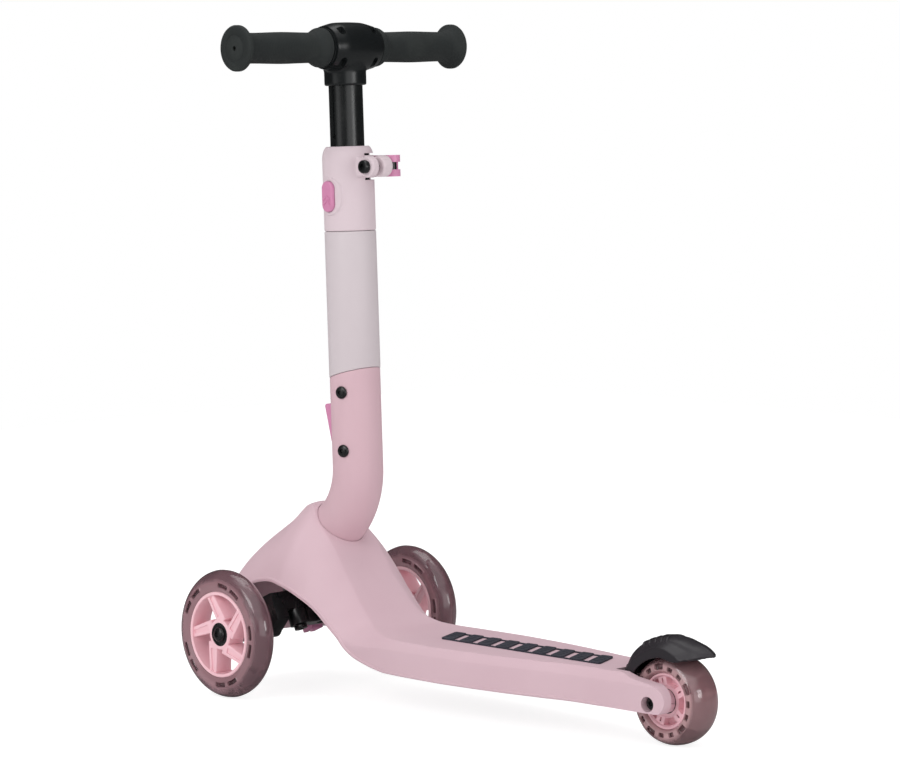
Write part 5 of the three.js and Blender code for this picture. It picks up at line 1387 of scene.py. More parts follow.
@dataclass
class TreadStrip(Assembly):
    """The raised anti-slip strip: slanted bars in a row, joined by two rails."""

    half_width: float = 17
    height: float = 1.6
    slant: float = 15
    bar_count: int = 9
    bar_share: float = 0.62
    rail_width: float = 3
    rear_gap: float = 25
    front_gap: float = 10
    corner: float = 1.4
    groove_count: int = 4
    groove_half: float = 0.7
    groove_depth: float = 0.5

    def build(self) -> None:
        """Drafts the strip and hands it to the scene."""
        rear = LAYOUT.rear_y + LAYOUT.slot_front + self.rear_gap
        front = LAYOUT.front_y - LAYOUT.hood_length - self.front_gap
        pitch = (front - rear - self.slant) / self.bar_count
        bottom = LAYOUT.deck_top + LAYOUT.clearance / 3
        top = bottom + self.height
        wide, far = self.half_width, pitch * self.bar_share
        outline = np.array([(-wide, 0), (wide, self.slant), (wide, far + self.slant), (-wide, far)])
        outline = softened(outline, 2, True) * 0.25 + self._cornered(outline) * 0.75
        bar = Solid.extruded([tuple(p) for p in outline], bottom, top, Axis.Z)
        for i in range(self.groove_count):
            share = (i + 1) / (self.groove_count + 1)
            place = shift(-wide + 2 * wide * share, self.slant * share + far / 2, 0)
            groove = stadium(self.groove_half, far * 0.3, 5)
            bar.cut(Solid.extruded(groove, top - self.groove_depth, top + 1, Axis.Z).moved(place))
        bar.bevel(0.35, 2, 30).moved(shift(0, rear, 0))
        sizes = {"Count": self.bar_count, "Step": (0, pitch, 0), "Finish": TREAD_RUBBER.material()}
        row_tree().grow(bar, sizes)
        half = self.rail_width / 2
        for side, _ in SIDES:
            x = side * (wide - half)
            start = rear + (self.slant * (1 + side) + far) / 2
            end = start + pitch * (self.bar_count - 1)
            bar.add(block((x - half, start, bottom), (x + half, end, bottom + self.height / 2)))
        show(bar, "tread_strip", TREAD_RUBBER, ["deck_grip_strip"], 40)

    def _cornered(self, outline: np.ndarray) -> np.ndarray:
        """The outline with small round corners, with as many points as two softening passes give.

        Args:
            outline: The outline with sharp corners.

        Returns:
            The outline with four points for each corner.
        """
        points = []
        for i, corner in enumerate(outline):
            for other in (outline[i - 1], outline[(i + 1) % len(outline)]):
                reach = (other - corner) / np.linalg.norm(other - corner)
                points += [corner + reach * self.corner, corner + reach * self.corner * 0.3]
            points[-1], points[-2] = points[-2], points[-1]
        return np.roll(np.array(points), -2, axis=0)


@dataclass
class Neck(Assembly):
    """The curved pink neck with its screws and the wedge button that frees the stem."""

    radius: float = 23.85
    wall: float = 3.9
    edge: float = 0.7
    screw_heights: tuple = (74.0, 19.0)
    screw_turn: float = 14
    screw_radius: float = 6
    screw_height: float = 3
    button_bottom: float = 25
    button_top: float = 61.5
    button_half_width: float = 9
    button_reach_low: float = 26.5
    button_reach_high: float = 34.5
    button_inset: float = 1.6
    bar_count: int = 3
    bar_pitch: float = 3.2
    steps: int = 112

    def _bend_ring(self, inset: float, share: float, depth: float = 0) -> Ring:
        """A ring across the bend.

        Args:
            inset: How far it is drawn in from the skin.
            share: Share of the way round the bend.
            depth: How far past the bend it lies.

        Returns:
            The ring.
        """
        angle = math.radians(LAYOUT.bend_degrees) * share
        rx = self.radius + (LAYOUT.foot_radius_x - self.radius) * share - inset
        ry = self.radius + (LAYOUT.foot_radius_y - self.radius) * share - inset
        forward = np.array([0, math.cos(angle), math.sin(angle)])
        down = np.array([0, math.sin(angle), -math.cos(angle)])
        centre = np.array([0, 1 - math.cos(angle), -math.sin(angle)]) * LAYOUT.bend_radius
        centre = centre + down * depth - forward * LAYOUT.foot_shift * share**2
        across = np.array([1, 0, 0])
        turns = circle(self.steps)
        return np.array([centre + across * rx * math.cos(t) + forward * ry * math.sin(t) for t in turns])

    def _straight_ring(self, inset: float, drop: Optional[float] = None) -> Ring:
        """A ring of the straight part.

        Args:
            inset: How far it is drawn in from the skin.
            drop: How far it lies below the tilted seam, or None for the one where the bend starts.

        Returns:
            The ring.
        """
        r = self.radius - inset
        points = []
        for t in circle(self.steps):
            x, y = r * math.cos(t), r * math.sin(t)
            z = 2 if drop is None else LAYOUT.seam_height(y) - LAYOUT.clearance / 2 - drop
            points.append(tilt(-LAYOUT.stem_lean) @ Vector((x, y, z)))
        return np.array(points)

    def _tube(self) -> Solid:
        """The neck's tube with its round seam edge."""
        edge, wall = self.edge, self.wall
        rings = [self._bend_ring(0, 1, LAYOUT.foot_depth)]
        rings += [self._bend_ring(0, share) for share in np.linspace(1, 0.04, 28)]
        straight = ((0, None), (0, 40), (0, 20), (0, 6), (0, edge * 1.6), (edge * 0.25, edge * 0.5),
                    (edge, 0), (wall - 0.3, 0), (wall, 0.4), (wall, 30), (wall, None))
        rings += [self._straight_ring(inset, drop) for inset, drop in straight]
        rings += [self._bend_ring(wall, share) for share in np.linspace(0.06, 1, 14)]
        rings += [self._bend_ring(wall, 1, LAYOUT.foot_depth)]
        return Solid.from_rings(rings, looped=True).moved(LAYOUT.neck_frame())

    def _screw(self) -> Solid:
        """A domed screw head along -X with a six-sided key hole and a ring round it."""
        r, h = self.screw_radius, self.screw_height
        dome = [(0.0, h)] + [(r * math.sin(a), h * math.cos(a) ** 0.8) for a in np.linspace(0.15, 1.45, 12)]
        dome += [(r, 0.1), (r - 0.2, -0.2), (0, -0.2)]
        head = Solid.turned([(p, -q) for p, q in dome], 48)
        head.cut(hexagon(r * 0.42, -h - 1, -h * 0.35))
        ring = [(r * 0.62, -h * 1.2), (r * 0.68, -h * 1.2), (r * 0.68, -h * 0.72), (r * 0.62, -h * 0.72)]
        return head.cut(Solid.turned(ring, 48))

    def _wedge(self) -> Solid:
        """The wedge button that lets the stem out, with small cross bars."""
        back = self.radius - self.button_inset + LAYOUT.clearance
        low, high = self.button_bottom, self.button_top
        near, far = self.button_reach_low, self.button_reach_high
        outline = [(back, low), (near, low), (far, high - 2), (far - 1.2, high), (back, high)]
        wedge = Solid.extruded(outline, -self.button_half_width, self.button_half_width)
        wedge.bevel(1.3, 4, 30)
        upright = Matrix.Rotation(math.pi / 2, 4, "Y") @ tilt(90)
        for i in range(self.bar_count):
            z = high - 6 - i * self.bar_pitch
            y = near + (far - near) * (z - low) / (high - low)
            bar = Solid.extruded(stadium(0.55, 5.4, 6), -0.35, 0.35, Axis.Z)
            wedge.beside(bar.moved(shift(0, y + 0.05, z) @ upright))
        return wedge

    def build(self) -> None:
        """Drafts neck, screws and button and hands them to the scene."""
        stem = LAYOUT.stem_frame()
        tube = self._tube()
        gap = LAYOUT.clearance
        middle = (self.button_bottom + self.button_top) / 2
        half = (self.button_top - self.button_bottom) / 2
        room = [(x, z + middle) for x, z in rounded_box(self.button_half_width + gap, half + gap, 1.6)]
        tube.cut(Solid.extruded(room, 0, self.radius * 2, Axis.Y).moved(stem))
        show(tube, "neck_tube_skin", NECK_PINK, ["neck_tube"])
        turn = math.radians(self.screw_turn)
        seat = self.radius + 0.1
        spot = (-seat * math.cos(turn), -seat * math.sin(turn))
        places = [((*spot, height), (0, 0, turn)) for height in self.screw_heights]
        screws = seated(self._screw(), places).moved(stem)
        show(screws, "neck_screw_heads", BLACK_STEEL, ["neck_screw_upper", "neck_screw_lower"])
        show(self._wedge().moved(stem), "release_wedge", MAGENTA, ["stem_release_button"])


@dataclass
class Stem(Assembly):
    """The pale stem tube and the collar with its clamp and its catch button."""

    radius: float = 24.25
    bore: float = 20.2
    collar_bottom: float = 225
    collar_top: float = 304.2
    shoulder: float = 6.3
    edge: float = 0.7
    clamp_height: float = 284.7
    clamp_setback: float = 38.8
    ear_radius: float = 10
    ear_face: float = 13
    ear_gap: float = 1.2
    band_half: float = 11.5
    slit: float = 2
    slit_reach: float = 1
    ear_round: float = 2
    ear_gap_left: float = 4.4
    ear_plate: float = 10.4
    bolt_head: float = 6.2
    bolt_length: float = 5
    pivot_x: float = 20.8
    pivot_radius: float = 3.8
    cam_radius: float = 7.2
    lever_half: float = 10
    fork_slot: float = 7
    arm_length: float = 52
    arm_thickness: float = 3.2
    button_height: float = 257.8
    button_half_width: float = 7
    button_half_height: float = 14.5
    button_proud: float = 4.4
    button_depth: float = 5
    surround_half_width: float = 13
    surround_half_height: float = 17.5
    surround_proud: float = 1.6
    button_gap: float = 0.35
    button_pin_radius: float = 2.6
    button_pin_end: float = 19
    collar_rim: float = 2.2
    bolt_bore: float = 3.3
    shank_radius: float = 3
    skin_face: float = 0.7
    skin_passes: int = 4
    reach: float = 60
    steps: int = 128

    def _tube(self) -> Solid:
        """The middle tube with its tilted lower edge and its level upper edge."""
        top = self.collar_bottom - LAYOUT.clearance
        edge, wall = self.edge, self.radius - self.bore

        def ring(inset: float, rise: float, low: bool) -> Ring:
            """A ring drawn in by an inset, a rise above the lower edge or below the upper one."""
            r = self.radius - inset
            points = []
            for t in circle(self.steps):
                x, y = r * math.cos(t), r * math.sin(t)
                z = LAYOUT.seam_height(y) + LAYOUT.clearance / 2 + rise if low else top - rise
                points.append((x, y, z))
            return np.array(points)

        rises = ((edge, 0, True), (edge * 0.25, edge * 0.5, True), (0, edge * 1.5, True), (0, 60, False),
                 (0, edge * 1.5, False), (edge * 0.25, edge * 0.5, False), (edge, 0, False), (wall, 0, False),
                 (wall, 0, True))
        return Solid.from_rings([ring(*values) for values in rises], looped=True)

    def _collar_form(self) -> Solid:
        """Collar, ears and the button's surround, melted into one skin."""
        r, soft, edge = self.radius, self.shoulder, self.edge
        top = self.collar_top + 0.6
        profile = [(0, self.collar_bottom), (r - edge, self.collar_bottom), (r, self.collar_bottom + edge)]
        profile += [(r - soft + a, top - soft * 2 + b * 2) for a, b in arc((0, 0), soft, 0, 80, 16)]
        form = Solid.turned([*profile, (0, top)], self.steps, Axis.Z)
        centre = (-self.clamp_setback, self.clamp_height)
        half = self.ear_radius - self.ear_round / 2
        ear = [(-self.bore, self.clamp_height - half)] + arc(centre, half, 270, 90, 24)
        ear += [(-self.bore, self.clamp_height + half)]
        for side, gap in ((-1, self.ear_gap_left), (1, self.ear_gap)):
            form.add(sided(ear, side, gap, self.ear_plate).bevel(self.ear_round / 2, 3, 50))
            face = disc(self.ear_radius, 48, centre)
            form.add(sided(face, side, gap, self.ear_face).bevel(self.ear_round, 4, 50))
        outline = stadium(self.surround_half_width, self.surround_half_height, 24)
        outline = [(y, z + self.button_height) for y, z in outline]
        proud = self.radius + self.surround_proud
        pad = rod(proud, self.collar_bottom, self.collar_top, self.steps, axis=Axis.Z)
        form.add(pad.trim(Solid.extruded(outline, -proud * 2, 0)))
        return form.blended(self.skin_face, self.skin_passes)

    def _collar(self) -> Solid:
        """The collar with its bore, slits and openings."""
        form = self._collar_form()
        form.cut(rod(self.bore, 0, self.collar_top - self.collar_rim, 96, axis=Axis.Z))
        form.cut(rod(self.bore - LAYOUT.clearance, 0, self.collar_top + 5, 96, axis=Axis.Z))
        gap_low = (-self.ear_gap_left, -self.clamp_setback * 2, self.clamp_height - self.band_half)
        form.cut(block(gap_low, (self.ear_gap, -self.radius, self.clamp_height + self.band_half)))
        for side, _ in SIDES:
            z = self.clamp_height + side * self.band_half
            low = (-self.slit_reach, -self.radius * 2, z - self.slit / 2)
            form.cut(block(low, (self.radius * 2, -self.radius * 0.2, z + self.slit / 2)))
        centre = (-self.clamp_setback, self.clamp_height)
        form.cut(rod(self.bolt_bore, -self.reach, self.reach, centre=centre))
        gap = self.button_gap
        room = stadium(self.button_half_width + gap, self.button_half_height + gap, 24)
        return form.cut(Solid.extruded([(y, z + self.button_height) for y, z in room], -self.radius * 2, 0))

    def _button(self) -> Solid:
        """The oval catch button with two raised chevrons."""
        face = self.radius + self.button_proud
        outline = stadium(self.button_half_width, self.button_half_height, 24)
        cap = Solid.extruded(outline, -face, -face + self.button_depth).bevel(1.3, 4, 40)
        for z in (-self.button_half_height * 0.15, -self.button_half_height * 0.45):
            chevron = [(-4.2, z), (0, z + 3.4), (4.2, z), (4.2, z - 1.5), (0, z + 1.9), (-4.2, z - 1.5)]
            cap.add(Solid.extruded(chevron, -face - 0.6, -face + 1))
        cap.add(rod(self.button_pin_radius, -face + 2, -self.button_pin_end, 24))
        return cap.moved(shift(0, 0, self.button_height))

    def _bolt(self) -> Solid:
        """The clamp bolt with its keyed head and the cross pin that the lever turns on."""
        face = -self.ear_face - LAYOUT.clearance
        r, end = self.bolt_head, face - self.bolt_length
        head = [(0, end), (r - 1.4, end), (r - 0.5, end + 0.35), (r, end + 1.3), (r, face - 0.3),
                (r - 0.3, face), (0, face)]
        bolt = Solid.turned(head, 56)
        bolt.cut(hexagon(r * 0.5, end - 1, face - self.bolt_length / 2))
        bolt.add(rod(self.shank_radius, face - 1, self.pivot_x - 1, 32))
        p, half = self.pivot_radius, self.lever_half
        pin = mirrored([(0, -half), (p - 0.5, -half), (p, -half + 0.5)])
        bolt.add(Solid.turned(pin, 40, Axis.Z).moved(shift(self.pivot_x, 0, 0)))
        return bolt.moved(shift(0, -self.clamp_setback, self.clamp_height))

    def _lever(self) -> Solid:
        """The quick-release lever: a forked cam with its arm along the collar."""
        high, half = self.lever_half, self.fork_slot / 2
        outer, reach, end = self.cam_radius, self.cam_radius * 2, self.arm_length
        inner = outer - self.arm_thickness
        outline = [(inner, 0), (outer, 0), (outer, end - 8)] + arc((outer - 3, end - 3), 3, 0, 80, 8)
        outline += [(inner, end), (inner - 0.4, end - 6)]
        lever = rod(outer, -high, high, axis=Axis.Z)
        lever.add(Solid.extruded(outline, -high, high, Axis.Z)).bevel(0.9, 3, 35)
        lever.cut(rod(self.pivot_radius + LAYOUT.clearance, -high - 2, high + 2, 40, axis=Axis.Z))
        lever.cut(block((-reach, -reach, -half), (self.pivot_radius, reach, half)))
        lever.cut(block((-reach, -reach, -half), (reach, 0, half)))
        return lever.moved(shift(self.pivot_x, -self.clamp_setback, self.clamp_height))

    def build(self) -> None:
        """Drafts the stem's pieces and hands them to the scene."""
        stem = LAYOUT.stem_frame()
        show(self._tube().moved(stem), "stem_tube_skin", PALE_LILAC, ["stem_tube"])
        show(self._collar().moved(stem), "clamp_collar", PALE_PINK, ["stem_collar"])
        show(self._button().moved(stem), "catch_button", MAGENTA, ["height_button"])
        show(self._bolt().moved(stem), "clamp_bolt_head", BLACK_STEEL, ["clamp_bolt"])
        show(self._lever().moved(stem), "quick_release_lever", MAGENTA, ["clamp_lever"])


@dataclass
class Handlebar(Assembly):
    """The telescopic tube, the T-shaped hub and the two rubber grips."""

    height: float = 396.5
    setback: float = 3
    tube_radius: float = 16
    tube_bore: float = 14
    tube_bottom: float = 168
    socket_depth: float = 24
    bar_radius: float = 11
    bar_half_length: float = 133
    grip_end: float = 138.4
    disc_radius: float = 21.2
    disc_depth: float = 5
    grip_radius: float = 14.6
    grip_waist: float = 14.0
    flange_radius: float = 18.5
    hub_half: float = 31
    hub_radius: float = 23.2
    hub_end_radius: float = 20.2
    hub_neck_radius: float = 19.75
    hub_neck_flare: float = 2.2
    skin_face: float = 0.8
    skin_passes: int = 14
    hub_bottom: float = 361
    hole_x: float = 20
    hole_rise: float = 15.9
    hole_radius: float = 3
    groove_width: float = 1.5
    groove_bottom: float = 313
    groove_hole: float = 2.1
    rib_pitch: float = 1.9
    rib_depth: float = 0.16

    def _slide(self) -> Solid:
        """The satin tube with the narrow guide groove on the rider's left."""
        low, top = self.tube_bottom, self.hub_bottom + self.socket_depth
        r, b = self.tube_radius, self.tube_bore
        profile = [(b, low), (r - 0.5, low), (r, low + 0.5), (r, top - 0.5), (r - 0.5, top), (b, top)]
        tube = Solid.turned(profile, 128, Axis.Z)
        half = self.groove_width / 2
        tube.cut(block((-r - 1, -half, self.groove_bottom), (-r + 0.7, half, top)))
        return tube.cut(rod(self.groove_hole, -r - 1, -b - 0.6, 24, (0, self.groove_bottom)))

    def _hub(self) -> Solid:
        """The hub: a barrel round the bar melted into a short neck, with oval recesses on both faces."""
        end, r, tip = self.hub_half, self.hub_radius, self.hub_end_radius
        along = np.linspace(-end, end, 25)
        radii = eased((-end, -end * 0.5, 0, end * 0.5, end), (tip + 0.4, r, r + 0.3, r, tip + 0.4), along)
        barrel = [(0, -end), (tip, -end), (tip, -end * 0.9), *zip(radii, along * 0.88)]
        barrel += [(tip, end * 0.9), (tip, end), (0, end)]
        place = shift(0, -self.setback, self.height)
        form = Solid.turned(barrel, 112).moved(place)
        thin, foot, fit = self.hub_neck_radius, self.hub_bottom, LAYOUT.clearance
        wide = thin + self.hub_neck_flare
        neck = [(0, foot), (thin, foot), (thin, foot + 13), (wide, self.height - 14), (wide, self.height),
                (0, self.height)]
        form.add(Solid.turned(neck, 112, Axis.Z)).blended(self.skin_face, self.skin_passes)
        root = self.flange_radius + 0.2
        step = [(root, end - 2.4), (r + 5, end - 2.4), (r + 5, end + 5), (root, end + 5)]
        for side, _ in SIDES:
            form.cut(Solid.turned([(rad, side * x) for rad, x in step], 96).moved(place))
        form.cut(rod(self.bar_radius + fit, -end - 5, end + 5, 64, (-self.setback, self.height)))
        form.cut(rod(self.tube_radius + fit, foot - 5, foot + self.socket_depth + fit, 96, axis=Axis.Z))
        oval = stadium(self.hole_radius + 0.5, self.hole_radius + 2.2, 12)
        for front, across, up in itertools.product((-1, 1), repeat=3):
            outline = [(x + across * self.hole_x, z + up * self.hole_rise + 0.7) for x, z in oval]
            form.cut(sided(outline, front, r - 11, r + 8, Axis.Y).moved(place))
        return form

    def _grip(self) -> Solid:
        """The right rubber grip: conical flange, finely ribbed handle and mushroom end."""
        inner, end = self.hub_half + LAYOUT.clearance, self.grip_end
        run, rim = end - inner, end - self.disc_depth
        bore, floor = (size + LAYOUT.clearance for size in (self.bar_radius, self.bar_half_length))
        flange, waist, wide = self.flange_radius, self.grip_waist, self.disc_radius
        places = np.linspace(0.0, 0.87, 150)
        radii = (flange, flange, waist, self.grip_radius, waist, waist + 0.4)
        handle = eased((0, 0.035, 0.14, 0.45, 0.8, 0.87), radii, places)
        fine = np.sin(places * run / self.rib_pitch * FULL_TURN) * self.rib_depth
        fade = np.clip((places - 0.13) / 0.04, 0, 1) * np.clip((0.84 - places) / 0.04, 0, 1)
        profile = [(bore, inner), (flange - 0.8, inner)]
        profile += list(zip(handle + fine * fade, inner + places * run))[1:]
        radii = (waist + 0.5, waist + 1.7, waist + 3.9, wide - 1.6, wide - 0.5)
        horn = eased((0, 0.35, 0.7, 0.9, 1), radii, np.linspace(0, 1, 14))
        profile += zip(horn, np.linspace(inner + run * 0.885, rim - 0.4, 14))
        profile += [(wide, rim), (wide, end - 2), (wide - 0.5, end - 1.1), (wide - 2.2, end - 0.5),
                    (wide * 0.62, end - 0.05), (wide * 0.6, end - 0.4), (wide * 0.57, end - 0.4),
                    (wide * 0.55, end), (2.2, end), (2.2, floor), (bore, floor)]
        return Solid.turned(profile).moved(shift(0, -self.setback, self.height))

    def build(self) -> None:
        """Drafts tube, hub and grips and hands them to the scene."""
        stem = LAYOUT.stem_frame()
        show(self._slide().moved(stem), "telescopic_tube", BLACK_STEEL, ["slide_tube"])
        show(self._hub().moved(stem), "handlebar_hub", BLACK_PLASTIC, ["handle_hub"])
        for side, word in SIDES:
            grip = self._grip().on_side(side).moved(stem)
            show(grip, f"rubber_grip_{word}", GRIP_RUBBER, [f"grip_{word}"], 50)


@dataclass
class Wheel(Assembly):
    """What the wheels share: a tyre's form, patterns round the axle and bearings."""

    radius: float = 60
    tyre_half: float = 12
    rim_radius: float = 40.3
    hub_half: float = 9.5
    hub_bore: float = 9.6
    spoke_count: int = 5
    bearing_radius: float = 11
    bearing_half: float = 3.5
    bearing_depth: float = 7.3
    bore: float = 4.2

    def _round(self, piece: Solid, finish: Finish) -> Solid:
        """Copies a piece round the axle, once for each spoke."""
        sizes = {"Count": self.spoke_count, "First Angle": 0.0, "Finish": finish.material()}
        return round_tree().grow(piece, sizes)

    def _tyre_form(self, widths: Sequence[Flat], power: float, rows: int, steps: int) -> Solid:
        """The tyre without its pockets.

        Args:
            widths: Shares of the tyre's depth, each with the share of its half width there.
            power: How much closer the rows are towards the tread.
            rows: Rows of points from the seat to the tread.
            steps: Steps in a turn.

        Returns:
            The tyre.
        """
        seat = self.rim_radius + LAYOUT.clearance
        places = 1 - (1 - np.linspace(0, 1, rows)) ** power
        half = eased(*zip(*widths), places) * self.tyre_half
        profile = list(zip(seat + (self.radius - seat) * places, half))
        return Solid.turned(profile + [(r, -w) for r, w in profile[::-1][1:]], steps)

    def _bearing(self, side: int) -> Solid:
        """A sealed ball bearing at one end of the hub."""
        r, b, half = self.bearing_radius, self.bore, self.bearing_half
        face = [(b, -half), (b + 1.4, -half), (b + 1.7, -half + 0.5), (r - 1.9, -half + 0.5),
                (r - 1.6, -half), (r - 0.3, -half), (r, -half + 0.3)]
        return Solid.turned(mirrored(face), 64).moved(shift(side * (self.hub_half - half), 0, 0))

    def _bearing_seat(self, side: int) -> Solid:
        """The bore that a bearing sits in."""
        seat = disc(self.bearing_radius + 0.1, 64)
        return sided(seat, side, self.hub_half - self.bearing_depth, self.hub_half + 5)


@dataclass
class FrontWheel(Wheel):
    """A front wheel: five-spoke rim, smoky tyre with moulded pockets, bearings and shoulder bolt."""

    side: int = -1
    word: str = "left"
    rim_half: float = 11.4
    barrel_wall: float = 3.2
    hub_radius: float = 14.5
    spoke_rim_angle: float = 69
    spoke_hub_angle: float = 106
    spoke_root: float = 6.0
    spoke_tip: float = 4.7
    spoke_border: float = 3.2
    group_angle: float = 110.5
    slot_offset: float = 10.6
    slot_half_angle: float = 8.2
    slot_reach: Flat = (4.6, 8.8)
    slot_depth: Flat = (-2.6, 4.0)
    slot_corner: float = 1.3
    pad_border: float = 1.6
    pad_reach: Flat = (3.6, 9.8)
    pad_depth: Flat = (-3.0, 0.4)
    pad_corner: float = 1.4
    bolt_radius: float = 6.6
    bolt_head: float = 3.4
    bolt_shank: float = 4
    bolt_length: float = 50
    tyre_widths: tuple = (
        (0, 0.88), (0.12, 0.96), (0.28, 1), (0.45, 0.975), (0.62, 0.9), (0.76, 0.78), (0.9, 0.5),
        (0.97, 0.26), (1, 0),
    )

    def _spoke(self, shrink: float) -> list[Flat]:
        """The outline of one swept spoke between hub and barrel.

        Args:
            shrink: How much narrower it is on each edge, for its groove.

        Returns:
            The closed outline.
        """
        ends = []
        hub, barrel = self.hub_radius - 2, self.rim_radius - 2
        for reach, angle in ((hub, self.spoke_hub_angle), (barrel, self.spoke_rim_angle)):
            ends.append(np.array(arc((0, 0), reach, angle, angle, 0)[0]))
        along = (ends[1] - ends[0]) / np.linalg.norm(ends[1] - ends[0])
        across = np.array([-along[1], along[0]])
        left, right = [], []
        for share in np.linspace(shrink * 0.07, 1 - shrink * 0.02, 10):
            point = ends[0] + (ends[1] - ends[0]) * share
            half = self.spoke_root + (self.spoke_tip - self.spoke_root) * share - shrink
            left.append(tuple(point + across * half))
            right.append(tuple(point - across * half))
        return left + right[::-1]

    def _rim(self) -> Solid:
        """The rim with barrel, hub and grooved spokes."""
        outer, inner, half = self.rim_radius, self.rim_radius - self.barrel_wall, self.rim_half
        barrel = [(inner, -half + 0.6), (inner + 0.7, -half), (outer - 0.8, -half), (outer, -half + 0.8)]
        rim = Solid.turned(mirrored(barrel), 128)
        r, half = self.hub_radius, self.hub_half
        hub = mirrored([(self.hub_bore, -half), (r - 0.8, -half), (r, -half + 0.8)])
        spoke = Solid.extruded(self._spoke(0), -half + 0.2, half - 0.2).bevel(0.7, 2, 50)
        for side, _ in SIDES:
            spoke.cut(sided(self._spoke(self.spoke_border), side, half - 1.2, half + 2))
        rim.add(self._round(spoke, RIM_PINK)).add(Solid.turned(hub))
        for side, _ in SIDES:
            rim.cut(self._bearing_seat(side))
        return rim.cut(rod(self.hub_bore, -20, 20, 64))

    def _tyre(self) -> Solid:
        """The tyre with five pairs of arc slots, each pair in a slightly raised pad."""
        tyre = self._tyre_form(self.tyre_widths, 1.6, 26, 144)
        half = self.slot_half_angle
        whole = (0.0, half + self.slot_offset + self.pad_border)
        for face, _ in SIDES:
            pad = self._arc_piece(face, self.pad_reach, whole, self.pad_depth, self.pad_corner)
            tyre.add(self._round(pad, FRONT_SMOKE))
            for offset in (-self.slot_offset, self.slot_offset):
                span = (offset, half)
                slot = self._arc_piece(face, self.slot_reach, span, self.slot_depth, self.slot_corner)
                tyre.cut(self._round(slot, FRONT_SMOKE))
        return tyre

    def _arc_piece(self, face: int, reach: Flat, span: Flat, depth: Flat, corner: float) -> Solid:
        """An arc-shaped block at one face of the tyre.

        Args:
            face: -1 or 1 for the left or right face.
            reach: Where it starts and ends outside the rim.
            span: Its middle, as an angle past the group's, and half its length in degrees.
            depth: Where it starts and ends, measured from the face.
            corner: Radius of its upright edges.

        Returns:
            The block.
        """
        inner, outer = (self.rim_radius + r for r in reach)
        outline = sector(inner, outer, self.group_angle + span[0], span[1], 14)
        near, far = (self.tyre_half + d for d in depth)
        return sided(outline, face, near, far).bevel(corner, 3, 50)

    def _bolt(self) -> Solid:
        """The shoulder bolt with its domed, keyed head."""
        face = self.hub_half + LAYOUT.clearance
        r, h, shank, end = self.bolt_radius, self.bolt_head, self.bolt_shank, face - self.bolt_length
        dome = [(r * math.sin(a), face + h * math.cos(a) ** 0.7) for a in np.linspace(0.2, 1.4, 12)]
        profile = [(0, face + h), *dome, (r + 0.4, face), (shank, face), (shank, end), (0, end)]
        bolt = Solid.turned(profile, 64)
        return bolt.cut(hexagon(r * 0.46, face + h * 0.45, face + h + 2)).on_side(self.side)

    def build(self) -> None:
        """Drafts the wheel's pieces and hands them to the scene."""
        place = LAYOUT.front_frame(self.side)
        stem = f"{self.word}_wheel"
        show(self._rim().moved(place), f"{stem}_spoked_rim", RIM_PINK, [f"{stem}_rim"])
        show(self._tyre().moved(place), f"{stem}_smoky_tyre", FRONT_SMOKE, [f"{stem}_tyre"], 40)
        for side, word in SIDES:
            bearing = self._bearing(side).moved(place)
            show(bearing, f"{stem}_{word}_race", BLACK_STEEL, [f"{stem}_bearing_{word}"])
        show(self._bolt().moved(place), f"{stem}_shoulder_bolt", BLACK_STEEL, [f"{stem}_bolt"])


